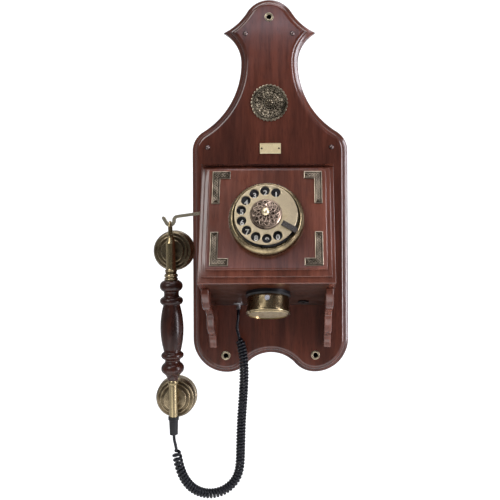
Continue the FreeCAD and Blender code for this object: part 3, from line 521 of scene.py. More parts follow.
# %% Metal group
def make_metal_group():
    tree, give, take = node_group(
        "aged_metal",
        [
            ("Bright", "Color", (0.55, 0.42, 0.2, 1)),
            ("Patina", "Color", (0.12, 0.09, 0.04, 1)),
            ("Age", "Float", 0.4),
            ("Roughness", "Float", 0.25),
            ("Brushing", "Vector", (300.0, 300.0, 300.0)),
        ],
        [("Color", "Color"), ("Roughness", "Float"), ("Height", "Float")],
    )
    place = object_place(tree)
    cloud = add(tree, "TexNoise", {"Vector": place, "Scale": 70.0, "Detail": 6.0, "Roughness": 0.6})
    links = {0: place, 1: give.outputs["Brushing"]}
    brushed = add(tree, "VectorMath", links, operation="MULTIPLY").outputs[0]
    scratch = add(tree, "TexNoise", {"Vector": brushed, "Scale": 3.0, "Detail": 3.0})
    bend = add(tree, "NewGeometry").outputs["Pointiness"]
    raised = between(tree, bend, -0.55, 0.55, 0.44, 0.56)
    dirt = between(tree, cloud.outputs["Fac"], -0.5, 0.5, 0.30, 0.70)
    total = add(tree, "Math", {0: dirt, 1: raised}, operation="SUBTRACT").outputs[0]
    total = add(tree, "Math", {0: total, 1: give.outputs["Age"]}, operation="ADD").outputs[0]
    mask = add(tree, "Clamp", {"Value": total}).outputs[0]
    colour = mix(tree, mask, give.outputs["Bright"], give.outputs["Patina"])
    fine = ramp(tree, scratch.outputs["Fac"], [(0.3, 0.82), (0.7, 1.12)])
    tree.links.new(mix(tree, 0.7, colour, fine, "MULTIPLY"), take.inputs["Color"])
    worn = between(tree, mask, 0.85, 1.7)
    rough = add(tree, "Math", {0: give.outputs["Roughness"], 1: worn}, operation="MULTIPLY").outputs[0]
    grit = between(tree, scratch.outputs["Fac"], 0.88, 1.16, 0.3, 0.7)
    rough = add(tree, "Math", {0: rough, 1: grit}, operation="MULTIPLY").outputs[0]
    tree.links.new(rough, take.inputs["Roughness"])
    tree.links.new(scratch.outputs["Fac"], take.inputs["Height"])
    return tree


METAL = make_metal_group()


def metal_material(name, bright, patina, age, roughness, metallic=1.0):
    material, tree, shader = principled(name)
    values = {"Bright": bright, "Patina": patina, "Age": age, "Roughness": roughness}
    feed(tree, shader, place_group(tree, METAL, values), 0.04, 0.0002)
    shader.inputs["Metallic"].default_value = metallic
    return material


# name: bright colour, patina colour, age, roughness
METALS = {
    "antique_brass": ((0.50, 0.40, 0.23), (0.15, 0.115, 0.06), 0.42, 0.25),
    "bright_brass": ((0.88, 0.68, 0.36), (0.50, 0.36, 0.15), 0.12, 0.22),
    "dark_bronze": ((0.60, 0.50, 0.36), (0.060, 0.045, 0.030), 0.42, 0.30),
    "eyelet_brass": ((0.50, 0.42, 0.29), (0.10, 0.08, 0.05), 0.40, 0.32),
    "nail_steel": ((0.20, 0.15, 0.14), (0.06, 0.04, 0.04), 0.30, 0.30),
    "plain_steel": ((0.55, 0.55, 0.56), (0.25, 0.25, 0.26), 0.20, 0.33),
    "spring_steel": ((0.38, 0.38, 0.41), (0.10, 0.10, 0.12), 0.30, 0.28),
    "gear_brass": ((0.78, 0.60, 0.30), (0.42, 0.30, 0.12), 0.15, 0.26),
}
for slot, values in METALS.items():
    FINISHES[slot] = metal_material(slot + "_metal", *values)
print("metal finishes:", ", ".join(METALS))


# %% [markdown]
# ## Finishes: one group for plastic, rubber and enamel
# Black plastic isn't one flat black: it has a slight orange-peel surface, a little dust and
# faint rubbed patches that change its gloss. One group gives all of these.

# %% Moulded group
def make_moulded_group():
    tree, give, take = node_group(
        "moulded_surface",
        [
            ("Colour", "Color", (0.02, 0.02, 0.022, 1)),
            ("Dust", "Color", (0.10, 0.10, 0.11, 1)),
            ("Dustiness", "Float", 0.2),
            ("Roughness", "Float", 0.3),
            ("Peel", "Float", 900.0),
        ],
        [("Color", "Color"), ("Roughness", "Float"), ("Height", "Float")],
    )
    place = object_place(tree)
    patches = add(tree, "TexNoise", {"Vector": place, "Scale": 90.0, "Detail": 5.0, "Roughness": 0.6})
    peel = add(tree, "TexNoise", {"Vector": place, "Scale": give.outputs["Peel"], "Detail": 2.0})
    cover = ramp(tree, patches.outputs["Fac"], [(0.42, 0.0), (0.80, 1.0)])
    amount = add(tree, "Math", {0: cover, 1: give.outputs["Dustiness"]}, operation="MULTIPLY").outputs[0]
    tree.links.new(mix(tree, amount, give.outputs["Colour"], give.outputs["Dust"]), take.inputs["Color"])
    spread = between(tree, patches.outputs["Fac"], 0.8, 1.4, 0.3, 0.7)
    rough = add(tree, "Math", {0: give.outputs["Roughness"], 1: spread}, operation="MULTIPLY").outputs[0]
    tree.links.new(rough, take.inputs["Roughness"])
    tree.links.new(peel.outputs["Fac"], take.inputs["Height"])
    return tree


MOULDED = make_moulded_group()


def moulded_material(name, colour, dust, dustiness, roughness, peel=900.0, bump=0.08):
    material, tree, shader = principled(name)
    shader.inputs["Specular IOR Level"].default_value = 0.35
    values = {"Colour": colour, "Dust": dust, "Dustiness": dustiness, "Roughness": roughness, "Peel": peel}
    feed(tree, shader, place_group(tree, MOULDED, values), bump, 0.0003)
    return material


# name: colour, dust colour, dustiness, roughness, scale and strength of the peel
MOULDINGS = {
    "black_enamel": ((0.016, 0.016, 0.018), (0.07, 0.07, 0.075), 0.25, 0.28),
    "black_plastic": ((0.010, 0.010, 0.012), (0.045, 0.045, 0.05), 0.25, 0.33),
    "black_rubber": ((0.008, 0.008, 0.009), (0.03, 0.03, 0.033), 0.35, 0.42, 1400.0, 0.2),
    "cord_plastic": ((0.003, 0.0035, 0.007), (0.010, 0.012, 0.020), 0.25, 0.24),
    "circuit": ((0.02, 0.12, 0.05), (0.10, 0.20, 0.12), 0.35, 0.35, 600.0, 0.15),
}
for slot, values in MOULDINGS.items():
    FINISHES[slot] = moulded_material(slot + "_finish", *values)
print("moulded finishes:", ", ".join(MOULDINGS))


# %% [markdown]
# ## Finishes of single pieces
# Pieces of one brass don't age alike: a knob is rubbed bright, an engraved plate stays dark. These
# finishes use the same groups with values of their own, each for one or two pieces.

# %% Finishes of single pieces
# name: bright colour, patina colour, age, roughness, and for a lacquered plate how metallic it is
PIECE_METALS = {
    "plate_bronze": ((0.42, 0.345, 0.26), (0.032, 0.026, 0.019), 0.66, 0.36),
    "plate_brass": ((0.95, 0.82, 0.50), (0.75, 0.62, 0.34), 0.22, 0.42, 0.3),
    "filigree_bronze": ((0.68, 0.52, 0.40), (0.020, 0.012, 0.010), 0.64, 0.30),
    "cast_bronze": ((0.46, 0.39, 0.28), (0.025, 0.020, 0.014), 0.66, 0.33),
    "cup_brass": ((0.40, 0.32, 0.20), (0.085, 0.062, 0.038), 0.50, 0.23),
    "hub_brass": ((0.95, 0.82, 0.55), (0.70, 0.56, 0.32), 0.15, 0.42),
    "satin_brass": ((0.70, 0.58, 0.38), (0.36, 0.29, 0.17), 0.22, 0.40),
    "spun_brass": ((0.43, 0.34, 0.20), (0.10, 0.076, 0.042), 0.50, 0.20),
    "hook_brass": ((0.86, 0.76, 0.56), (0.42, 0.35, 0.22), 0.22, 0.34),
    "stop_bronze": ((0.16, 0.145, 0.13), (0.03, 0.027, 0.025), 0.45, 0.30),
    "pin_bronze": ((0.07, 0.055, 0.04), (0.02, 0.015, 0.01), 0.45, 0.35),
}
PIECE_COATS = {
    # The bore finish is nearly black: painted shade inside the eyelets' tubes.
    "bore_painted_shade": ((0.006, 0.005, 0.004), (0.020, 0.016, 0.012), 0.5, 0.9),
    "digit_enamel": ((0.93, 0.92, 0.88), (0.66, 0.64, 0.60), 0.3, 0.4),
}
for name, values in PIECE_METALS.items():
    FINISHES[name] = metal_material(name, *values)
for name, values in PIECE_COATS.items():
    FINISHES[name] = moulded_material(name, *values)
print("finishes of single pieces:", len(PIECE_METALS) + len(PIECE_COATS))


# %% [markdown]
# ## Put the finishes on the CAD nodes
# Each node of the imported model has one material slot, named in its record. The plain slots are
# filled here; a piece that is made below takes its finish with `dress`.

# %% Dress the nodes
OWN_FINISH = {
    # The box's underside takes the darker wood, which is painted shade.
    "bottom_panel": "underside_painted_shade",
    "small_nails": "pin_bronze",
    "ringer_screw": "plain_steel",
    "cord_clamp": "plain_steel",
    "ringer_grille": "satin_brass",
    "finger_stop": "stop_bronze",
    "hook_lever": "hook_brass",
}
SLOT_OF = {part["node"]: part["material_slot"] for part in frame["record"]["subparts"]}
for node, slot in SLOT_OF.items():
    finish = OWN_FINISH.get(node, slot)
    for place in NODES[node].material_slots:
        place.material = FINISHES[finish]


def dress(piece, slot, body, *replaced, finish=None):
    """Give a new piece its finish and body, and hide the CAD nodes that it stands for."""
    piece.data.materials.clear()
    piece.data.materials.append(FINISHES[finish or slot])
    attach(piece, body)
    if replaced:
        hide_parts(*replaced)


telephone_lead.data.materials.append(FINISHES["cord_plastic"])
print(len(SLOT_OF), "nodes dressed")


# %% [markdown]
# ## The board
# The board is sawn to a shape of tangent arcs, and its edge is moulded with a round, a step and a
# hollow. The outline is worked out for any inset, like tool paths side by side: convex arcs get
# smaller and hollow arcs larger. Joining the outlines at the heights of the moulding makes it.

# %% Outline of the board
def circles_meet(first, first_radius, second, second_radius):
    """Where two circles cross, on the left of the way from the first to the second."""
    gap = second - first
    along = (gap.length_squared + first_radius**2 - second_radius**2) / (2 * gap.length)
    aside = math.sqrt(first_radius**2 - along**2)
    way = gap.normalized()
    return first + way * along + Vector((-way.y, way.x)) * aside


TOP, BOTTOM, HALF_WIDTH = 25.7, -477.5, 104.7
NECK_HALF, NECK_HEIGHT, ARCH_TOP = 38.2, -59.7, -451.1
CROWN_ARC, FLARE_ARC, UNDER_ARC, NECK_ARC = 35.4, 77, 47.3, 109
SHOULDER_ARC, CORNER_ARC, LOBE_ARC = 30.5, 45.5, 36
CROWN = Vector((0, TOP - CROWN_ARC))
FLARE = circles_meet(CROWN, CROWN_ARC + FLARE_ARC, Vector((64.2, -19.9)), FLARE_ARC)
UNDER = Vector((NECK_HALF + UNDER_ARC, NECK_HEIGHT))
NECK = Vector((NECK_HALF + NECK_ARC, NECK_HEIGHT))
SHOULDER_X = HALF_WIDTH - SHOULDER_ARC
SHOULDER_DROP = math.sqrt((NECK_ARC + SHOULDER_ARC) ** 2 - (NECK_HALF + NECK_ARC - SHOULDER_X) ** 2)
SHOULDER = Vector((SHOULDER_X, NECK_HEIGHT - SHOULDER_DROP))
CORNER = Vector((HALF_WIDTH - CORNER_ARC, BOTTOM + CORNER_ARC))
LOBE = Vector((CORNER.x, BOTTOM + LOBE_ARC))
ARCH_RISE = ARCH_TOP - LOBE.y
ARCH_ARC = (LOBE.x**2 + ARCH_RISE**2 - LOBE_ARC**2) / (2 * (LOBE_ARC + ARCH_RISE))
ARCH = Vector((0, ARCH_TOP - ARCH_ARC))


def arc_between(start, end, centre, steps):
    """Points from start to just before end, the short way round a centre."""
    first = math.atan2(start.y - centre.y, start.x - centre.x)
    turn = math.atan2(end.y - centre.y, end.x - centre.x) - first
    turn = (turn + math.pi) % (2 * math.pi) - math.pi
    radius = (start - centre).length
    turns = [first + turn * step / steps for step in range(steps)]
    return [Vector((centre.x + radius * math.cos(t), centre.y + radius * math.sin(t))) for t in turns]


def board_outline(inset):
    """The board's outline moved inward, always with the same number of points."""
    marks = [
        Vector((0, TOP - inset)),
        CROWN + (FLARE - CROWN).normalized() * (CROWN_ARC - inset),
        circles_meet(UNDER, UNDER_ARC + inset, FLARE, FLARE_ARC + inset),
        Vector((UNDER.x - UNDER_ARC - inset, UNDER.y)),
        SHOULDER + (NECK - SHOULDER).normalized() * (SHOULDER_ARC - inset),
        Vector((HALF_WIDTH - inset, SHOULDER.y)),
        Vector((HALF_WIDTH - inset, CORNER.y)),
        Vector((CORNER.x, BOTTOM + inset)),
        LOBE + (ARCH - LOBE).normalized() * (LOBE_ARC - inset),
        Vector((0, ARCH_TOP + inset)),
    ]
    centres = [CROWN, FLARE, UNDER, NECK, SHOULDER, None, CORNER, LOBE, ARCH]
    half = []
    for start, end, centre in zip(marks, marks[1:], centres):
        if centre is None:
            half += [start + (end - start) * step / 16 for step in range(16)]
        else:
            half += arc_between(start, end, centre, 22)
    half.append(marks[-1])
    return half + [Vector((-p.x, p.y)) for p in reversed(half[1:-1])]


# (inset, height above the back) of the moulding, in millimetres
MOULDING = [(0, 0), (0, 7.6)] + arc((2.4, 7.6), 2.4, 180, 112, 6)
MOULDING += [(3.0, 10.8), (4.4, 11.7), (4.8, 12.0), (4.9, 13.3)]
MOULDING += [(5.2, 14.6), (6.0, 15.7), (7.4, 16.9), (8.6, 17.6), (9.6, 17.9), (10.6, 18.0)]
rings = [[(p.x * MM, -height * MM, p.y * MM) for p in board_outline(inset)] for inset, height in MOULDING]
board = finish_mesh("moulded_board", *skin(rings), sharp=32)
print(f"board outline of {len(rings[0])} points, {len(rings)} times round")


# %% [markdown]
# The three eyelets go through the board. Round cutters and a Boolean modifier drill their holes,
# and the result is kept as plain mesh, so the modifier isn't needed any more.

# %% Drill the board
def cut_away(piece, cutter):
    modifier = piece.modifiers.new("cut", "BOOLEAN")
    modifier.operation = "DIFFERENCE"
    modifier.solver = "EXACT"
    modifier.object = cutter
    bpy.context.view_layer.update()
    done = piece.evaluated_get(bpy.context.evaluated_depsgraph_get())
    mesh = bpy.data.meshes.new_from_object(done)
    piece.modifiers.clear()
    piece.data = mesh
    bpy.data.objects.remove(cutter)


def flatten(piece, axis):
    """Shade the faces that look along one axis flat, so no sheen runs across them."""
    for face in piece.data.polygons:
        face.use_smooth = abs(face.normal[axis]) < 0.99999


EYELET_SPOTS = [(0, 0), (-60, -453), (60, -453)]
for x, z in EYELET_SPOTS:
    drill = Matrix.Translation((x * MM, 0.001, z * MM)) @ FACING
    cut_away(board, lathe("drill", [(0, 0), (3.65, 0), (3.65, 24), (0, 24)], drill, 32))
flatten(board, 1)
dress(board, "mahogany", "root", "backboard")
print("board with", len(EYELET_SPOTS), "holes:", len(board.data.polygons), "faces")


# %% [markdown]
# ## The eyelets
# Each hole is lined with a brass eyelet: a thin tube with a rolled flange on the front. The inside of the
# tube is painted nearly black as painted shade, and a narrow foot keeps the light behind it out.

# %% Eyelets
FLANGE = [(3.6, 0), (3.6, 18.0), (6.0, 18.0)] + arc((5.3, 18.4), 0.7, -30, 90, 6)
FLANGE += [(4.4, 19.3), (3.7, 19.0), (3.1, 18.5)]
BORE = [(3.1, 18.5), (2.8, 17.6), (2.8, 1.0), (0.8, 1.0), (0.8, 0), (3.6, 0)]
for number, (x, z) in enumerate(EYELET_SPOTS, start=1):
    place = Matrix.Translation((x * MM, 0, z * MM)) @ FACING
    flange = lathe(f"eyelet_flange_{number}", FLANGE, place, 48, 60)
    bore = lathe(f"eyelet_bore_{number}", BORE, place, 48, 60)
    dress(flange, "eyelet_brass", "root", "wall_eyelets")
    # The tube's inside and its foot take the nearly black painted shade.
    dress(bore, "eyelet_brass", "root", "wall_eyelets", finish="bore_painted_shade")
print(len(EYELET_SPOTS), "eyelets lined")


# %% [markdown]
# ## The front panel
# The sloping panel has the same kind of moulding: two rounded steps on all four sides, wider at
# the foot than at the top. `run` goes from 0 at the outside to 2 at the flat field, and each side
# turns it into its own inset.

# %% Front panel
def panel_ring(run, height):
    def inset(first, second):
        return first * min(run, 1) + (second - first) * max(run - 1, 0)

    side, foot, top = inset(4.5, 10.5), inset(7, 15), inset(4, 8)
    left, right = -82 + side, 82 - side
    low, high = foot, PANEL_LENGTH - top
    ring = []
    corners = [(left, low), (right, low), (right, high), (left, high)]
    for (x, y), (following_x, following_y) in zip(corners, corners[1:] + corners[:1]):
        for step in range(6):
            part = step / 6
            x_here = x + (following_x - x) * part
            y_here = y + (following_y - y) * part
            ring.append((x_here * MM, y_here * MM, height * MM))
    return ring


PANEL_STEPS = [(0, -12), (0, -9.2), (0.05, -8.55), (0.14, -8.15), (0.28, -8.0), (0.90, -7.9), (1.0, -7.6),
               (1.0, -5.2), (1.05, -4.55), (1.13, -4.15), (1.26, -4.0), (1.86, -3.85), (1.95, -3.5),
               (1.96, -1.1), (2.0, -0.5), (2.08, -0.12), (2.18, 0.0)]
rings = [panel_ring(*step) for step in PANEL_STEPS]
front = finish_mesh("moulded_front", *skin(rings), sharp=38, place=PANEL)
cut_away(front, lathe("drill", [(0, -20), (14.0, -20), (14.0, 20), (0, 20)], DIAL, 64))
flatten(front, 2)
dress(front, "box_mahogany", "root", "front_panel", finish="panel_mahogany")
print("front panel", len(front.data.polygons), "faces")


# %% [markdown]
# ## The brackets
# Two sawn brackets carry the box. Each is a flat outline of hollow and round curves, given
# thickness, with its sharp edges taken off by a Bevel modifier, as with a spokeshave.

# %% Brackets
BRACKET = [(-18, -385.8), (-112, -351.6), (-113, -358.6)]
BRACKET += arc_through((-113, -358.6), (-106.5, -371.5), (-92, -381), 14)[1:]
BRACKET += arc_through((-92, -381), (-77, -385.5), (-65, -392), 8)[1:]
BRACKET += [(-64.5, -396)]
BRACKET += arc_through((-64.5, -396), (-57.5, -410), (-45, -420), 12)[1:]
BRACKET += arc_through((-45, -420), (-36.5, -426.5), (-33, -437), 8)[1:]
BRACKET += [(-32, -440), (-18, -440)]


def ease(piece, width, segments):
    """Take the sharp edges off with a Bevel modifier, width in millimetres."""
    edge = piece.modifiers.new("eased_edges", "BEVEL")
    edge.width = width * MM
    edge.segments = segments
    edge.limit_method = "ANGLE"
    edge.angle_limit = math.radians(50)


def bracket(name, outside, inside):
    rings = [[(x * MM, y * MM, z * MM) for y, z in BRACKET] for x in (outside, inside)]
    piece = finish_mesh(name, *skin(rings), sharp=40)
    ease(piece, 1.6, 4)
    return piece


dress(bracket("sawn_bracket_left", -80, -70.5), "box_mahogany", "root", "left_bracket")
dress(bracket("sawn_bracket_right", 80, 70.5), "box_mahogany", "root", "right_bracket")
print("two brackets of", len(BRACKET), "points")


# %% [markdown]
# ## Cast relief
# The corner plates are thin castings: a raised border, a groove and a low vine inside. A fine grid
# of points is lifted by a height rule, and the rim is taken straight down to the panel.

# %% Corner plates
def relief(name, across, along, height, place, solid):
    """A grid raised by height(x, y), kept where solid(x, y), with walls down to zero. Millimetres."""
    points = []
    for y in along:
        points += [(x * MM, y * MM, height(x, y) * MM) for x in across]
    points += [(x * MM, y * MM, 0) for y in along for x in across]
    wide = len(across)
    lower = len(across) * len(along)
    kept = {
        (row, column)
        for row in range(len(along) - 1)
        for column in range(wide - 1)
        if solid((across[column] + across[column + 1]) / 2, (along[row] + along[row + 1]) / 2)
    }
    faces = []
    for row, column in sorted(kept):
        a = row * wide + column
        b, c, d = a + 1, a + wide + 1, a + wide
        faces += [(a, b, c, d), (a + lower, d + lower, c + lower, b + lower)]
        for beside, (first, second) in (
            ((row - 1, column), (b, a)), ((row + 1, column), (d, c)),
            ((row, column - 1), (a, d)), ((row, column + 1), (c, b)),
        ):
            if beside not in kept:
                faces.append((first, second, second + lower, first + lower))
    return finish_mesh(name, points, faces, 50, place)


LONG_ARM, SHORT_ARM, ARM, PLATE = 42.0, 22.0, 9.5, 1.6


def plate_depth(x, y):
    """How far a place on the plate is from its nearest edge, x and y from its outer corner."""
    if x <= ARM and y <= ARM:
        corner = math.hypot(max(ARM - x, 0), max(ARM - y, 0))
        return min(x, y, corner)
    if x > ARM:
        return min(y, ARM - y, SHORT_ARM - x)
    return min(x, ARM - x, LONG_ARM - y)


def plate_height(x, y):
    depth = plate_depth(x, y)
    if depth < 0.2:
        return 1.25
    if depth < 1.3:
        return PLATE
    if depth < 2.0:
        return 0.45
    run, cross = (x, y - ARM / 2) if x > ARM else (y, x - ARM / 2)
    vine = math.cos((cross - 1.5 * math.sin(run * 0.95)) * 2.1)
    leaf = math.cos(run * 1.9) * math.cos(cross * 1.7)
    return 0.85 + 0.32 * max(vine, leaf)


def corner_plate(name, side, level):
    corner = Vector((side * 67.0, PANEL_LENGTH - 10.4 if level > 0 else 18.8))
    flip = Matrix.Diagonal((-side, -level, 1, 1))
    place = PANEL @ Matrix.Translation((corner.x * MM, corner.y * MM, 0)) @ flip
    across = np.arange(0, SHORT_ARM + 0.1, 0.5)
    along = np.arange(0, LONG_ARM + 0.1, 0.5)
    piece = relief(name, across, along, plate_height, None, lambda x, y: x < ARM or y < ARM)
    piece.data.transform(flip)
    if side * level < 0:
        piece.data.flip_normals()
    piece.matrix_world = place @ flip.inverted()
    return piece


for level, row in ((1, "upper"), (-1, "lower")):
    for side, hand in ((-1, "left"), (1, "right")):
        plate = corner_plate(f"cast_plate_{row}_{hand}", side, level)
        dress(plate, "dark_bronze", "root", f"{row}_{hand}_corner_plate", finish="plate_bronze")
print("four corner plates of", len(plate.data.polygons), "faces")


# %% [markdown]
# ## Round relief
# The rosette on the board and the ornament on the dial are round castings. Here the grid is polar,
# so a scalloped edge is only a radius that waves as it goes round.

# %% Round relief
def round_relief(name, edge, height, place, rings=64, spokes=300, foot=0.0):
    """A disc lifted by height(part of the radius, angle); edge(angle) is its radius. Millimetres."""
    points = [(0, 0, height(0, 0) * MM)]
    for ring in range(1, rings + 1):
        for spoke in range(spokes):
            turn = 2 * math.pi * spoke / spokes
            radius = edge(turn) * ring / rings
            lift = height(ring / rings, turn)
            points.append((radius * math.cos(turn) * MM, radius * math.sin(turn) * MM, lift * MM))
    last = points[-spokes:]
    points += [(x, y, foot * MM) for x, y, z in last]
    faces = []
    for spoke in range(spokes):
        after = (spoke + 1) % spokes
        faces.append((0, 1 + spoke, 1 + after))
        for ring in range(rings):
            low = 1 + ring * spokes
            faces.append((low + spoke, low + spokes + spoke, low + spokes + after, low + after))
    faces.append(tuple(1 + rings * spokes + spoke for spoke in range(spokes)))
    return finish_mesh(name, points, faces, 60, place)


def rosette_edge(turn):
    return 23.4 + 1.6 * abs(math.cos(15 * turn))


def rosette_height(part, turn):
    if part > 0.90:
        return 1.3 + 0.5 * abs(math.cos(15 * turn)) * (1 - abs(part - 0.95) / 0.05)
    if part > 0.84:
        return 0.9
    if part > 0.78:
        return 2.3
    if part > 0.30:
        rays = abs(math.cos(8 * turn + 5.0 * (part - 0.3)))
        back = abs(math.cos(8 * turn - 5.0 * (part - 0.3)))
        lattice = max(rays, back) ** 6
        band = 0.25 * math.cos((part - 0.54) * 40)
        return 1.0 + 1.1 * lattice + band
    if part > 0.24:
        return 2.5
    petals = abs(math.cos(4 * turn))
    return 1.4 + 1.9 * petals * math.sin(math.pi * part / 0.24) + 1.6 * (part < 0.07)


rosette = round_relief("cast_rosette", rosette_edge, rosette_height, on_board(0, -115))
dress(rosette, "dark_bronze", "root", "rosette", finish="cast_bronze")


def ornament_edge(turn):
    return 19.0


def ornament_height(part, turn):
    dome = 25.2 + 7.4 * (1 - part**2) ** 0.75
    if part > 0.965:
        return 25.2
    if part > 0.90:
        return dome + 0.7
    scallop = 0.80 + 0.05 * abs(math.cos(6 * turn))
    if part > scallop + 0.03:
        return dome - 0.7
    if part > scallop - 0.03:
        return dome + 0.8
    curl = abs(math.cos(6 * turn + 6.5 * part)) ** 5
    counter = abs(math.cos(6 * turn - 9.0 * part + 0.6)) ** 7
    ring = math.exp(-(((part - 0.55) / 0.025) ** 2))
    return min(dome - 0.6 + 1.3 * max(curl, counter, 0.8 * ring), 33.4)


ornament = round_relief("filigree_ornament", ornament_edge, ornament_height, DIAL, 72, 360, 25.0)
dress(ornament, "dark_bronze", "dial", "dial_ornament", finish="filigree_bronze")
print("two round castings of", len(rosette.data.polygons), "and", len(ornament.data.polygons), "faces")


# %% [markdown]
# ## The dial
# The bezel is a spun brass bowl, widest near its foot, with a rolled rim behind the wheel. The
# finger wheel is stamped from sheet, so it is drawn as a flat curve with ten round holes; the
# curve's own bevel rounds every edge. The digits are thin enamel on the plate behind, read
# through the holes.

# %% Dial
BEZEL = [(14.0, 0), (41.6, 0), (42.0, 0.6)]
BEZEL += arc_through((43.4, 1.6), (45.0, 4.2), (45.4, 7.0), 8)
BEZEL += arc_through((45.4, 7.0), (44.6, 12.0), (41.8, 16.2), 14)[1:]
BEZEL += arc_through((41.8, 16.2), (40.6, 17.4), (39.3, 16.6), 10)[1:]
BEZEL += [(38.3, 15.0), (34.0, 15.0), (32.0, 3.0), (14.0, 3.0)]
bezel = lathe("spun_bezel", BEZEL, DIAL, 160, 50)
dress(bezel, "antique_brass", "root", "dial_bezel", finish="spun_brass")


def flat_curve(name, circles, thickness, rounding, place):
    """A flat sheet between circles of (x, y, radius), in millimetres, with rounded edges."""
    curve = bpy.data.curves.new(name, "CURVE")
    curve.dimensions = "2D"
    curve.fill_mode = "BOTH"
    for x, y, radius in circles:
        spline = curve.splines.new("POLY")
        steps = 120 if radius > 20 else 40
        spline.points.add(steps - 1)
        for step, point in enumerate(spline.points):
            turn = 2 * math.pi * step / steps
            point.co = ((x + radius * math.cos(turn)) * MM, (y + radius * math.sin(turn)) * MM, 0, 1)
        spline.use_cyclic_u = True
    curve.offset = -rounding * MM
    curve.bevel_depth = rounding * MM
    curve.bevel_resolution = 4
    curve.extrude = (thickness / 2 - rounding) * MM
    mesh = mesh_of(curve)
    mesh.polygons.foreach_set("use_smooth", [True] * len(mesh.polygons))
    mesh.set_sharp_from_angle(angle=math.radians(40))
    return stand(name, mesh, place)


HOLE_CIRCLE = 29.4


def hole_place(number, radius):
    turn = math.radians(67.0 + 25.7 * number)
    return radius * math.cos(turn), radius * math.sin(turn)


holes = [(*hole_place(number, HOLE_CIRCLE), 5.7) for number in range(10)]
wheel_place = DIAL @ Matrix.Translation((0, 0, 23.75 * MM))
wheel = flat_curve("stamped_wheel", [(0, 0, 36.9), (0, 0, 3.2), *holes], 2.4, 0.6, wheel_place)
dress(wheel, "antique_brass", "dial", "finger_wheel", finish="satin_brass")


def digit(number):
    letter = bpy.data.curves.new("digit", "FONT")
    letter.body = str((number + 1) % 10)
    letter.size = 9.2 * MM
    letter.align_x = "CENTER"
    letter.align_y = "CENTER"
    letter.extrude = 0.04 * MM
    letter.offset = 0.24 * MM
    mesh = mesh_of(letter)
    x, y = hole_place(number, HOLE_CIRCLE)
    mesh.transform(Matrix.Translation((x * MM, y * MM, 16.66 * MM)))
    return mesh


digits = bmesh.new()
for number in range(10):
    digits.from_mesh(digit(number))
digit_mesh = bpy.data.meshes.new("enamel_digits")
digits.to_mesh(digit_mesh)
digits.free()
enamel_digits = stand("enamel_digits", digit_mesh, DIAL)
dress(enamel_digits, "black_enamel", "root", finish="digit_enamel")

HUB = [(0, 33.6), (4.5, 33.6), (4.5, 34.4)] + arc((0, 32.6), 4.9, 22, 90, 10)
hub = lathe("hub_button", [(max(r, 0), min(z, 37.6)) for r, z in HUB], DIAL, 48)
dress(hub, "bright_brass", "dial", "dial_hub_cap", finish="hub_brass")
print("dial: bezel, wheel with", len(holes), "holes, digits and hub")


# %% [markdown]
# ## Turned pieces
# The handle, the ringer and the handset's cups were all turned on a lathe, so each is a profile
# swept round an axis. The beads and hollows of the profile are what makes each one look turned.

# %% Handle
def curve_through(*arcs):
    """Profile points along arcs of (start, middle, end), joined."""
    points = []
    for start, middle, end in arcs:
        points += arc_through(start, middle, end, 14)
    return points


HANDLE = [(3.0, -74.5), (9.0, -74.5)] + curve_through(
    ((9.6, -75.0), (14.2, -81.3), (9.8, -88.2)),
    ((9.8, -88.2), (9.1, -91.5), (10.0, -95.2)),
    ((10.0, -95.2), (14.3, -100.2), (10.4, -105.0)),
    ((10.4, -105.6), (14.3, -134.5), (10.4, -163.4)),
    ((11.4, -164.6), (13.9, -168.4), (11.4, -172.1)),
    ((11.0, -172.4), (9.3, -175.2), (10.6, -178.2)),
    ((10.6, -178.2), (14.2, -184.4), (11.0, -190.6)),
    ((11.0, -190.6), (7.8, -194.6), (6.2, -199.4)),
) + [(5.8, -199.8), (3.0, -199.8)]
handle = lathe("turned_handle", HANDLE, HANDSET, 72, 55)
dress(handle, "handle_wood", "handset", "wooden_handle")

COLLAR = [(3.5, -74.5), (8.0, -74.5)] + arc((7.0, -72.9), 1.6, -90, 90, 8) + [(6.6, -71.0)]
COLLAR += arc((6.0, -68.6), 2.5, -75, 75, 10) + [(6.3, -66.0), (7.3, -64.6)]
COLLAR += arc((6.4, -62.6), 1.3, -80, 80, 8) + [(6.2, -60.0), (3.5, -60.0)]
collar = lathe("beaded_collar", COLLAR, HANDSET, 64, 50)
dress(collar, "antique_brass", "handset", "upper_collar", finish="spun_brass")
print("handle and collar turned")

# %% Cups of the handset
CUP = [(5.0, 3.0), (6.5, 9.0), (8.0, 9.2), (13.0, 9.3)] + arc((13.6, 10.3), 1.0, -100, 20, 6)
CUP += [(15.2, 11.8), (17.0, 12.1)] + arc((18.3, 12.6), 0.9, -140, 10, 6) + [(19.6, 13.6), (21.4, 14.0)]
CUP += arc((22.4, 14.9), 1.0, -120, 10, 6) + [(23.8, 16.0), (24.9, 17.4), (25.3, 19.0), (25.3, 21.4)]
CUP += [(24.8, 21.8), (24.8, 22.4), (25.5, 22.9), (25.5, 27.0), (23.5, 27.0), (23.5, 19.5)]
CUP += [(19.0, 15.0), (5.0, 12.4)]
for name, height in (("ear_cup", -38.8), ("mouth_cup", -226.3)):
    cup = lathe("turned_" + name, CUP, cup_frame(height), 128, 30)
    dress(cup, "antique_brass", "handset", name, finish="cup_brass")
print("two cups of", len(cup.data.polygons), "faces")

# %% Ringer
RINGER = [(23.6, 5.5), (25.4, 5.5), (25.9, 6.4), (26.0, 8.0), (26.0, 20.6), (26.4, 21.6)]
RINGER += arc((26.1, 24.6), 1.5, -75, 80, 10) + [(26.2, 26.6), (25.6, 27.6), (24.8, 28.0), (23.6, 28.0)]
ringer = lathe("spun_ringer", RINGER, under_box(0, 67), 128, 45)
dress(ringer, "antique_brass", "root", "ringer_cup", finish="spun_brass")
print("ringer spun")


# %% [markdown]
# ## Small plates and the last edges
# The name plate is a blank brass plate with a raised rim. The pieces that keep their CAD shape get
# a small Bevel modifier where a real edge would be broken, so it catches a line of light.

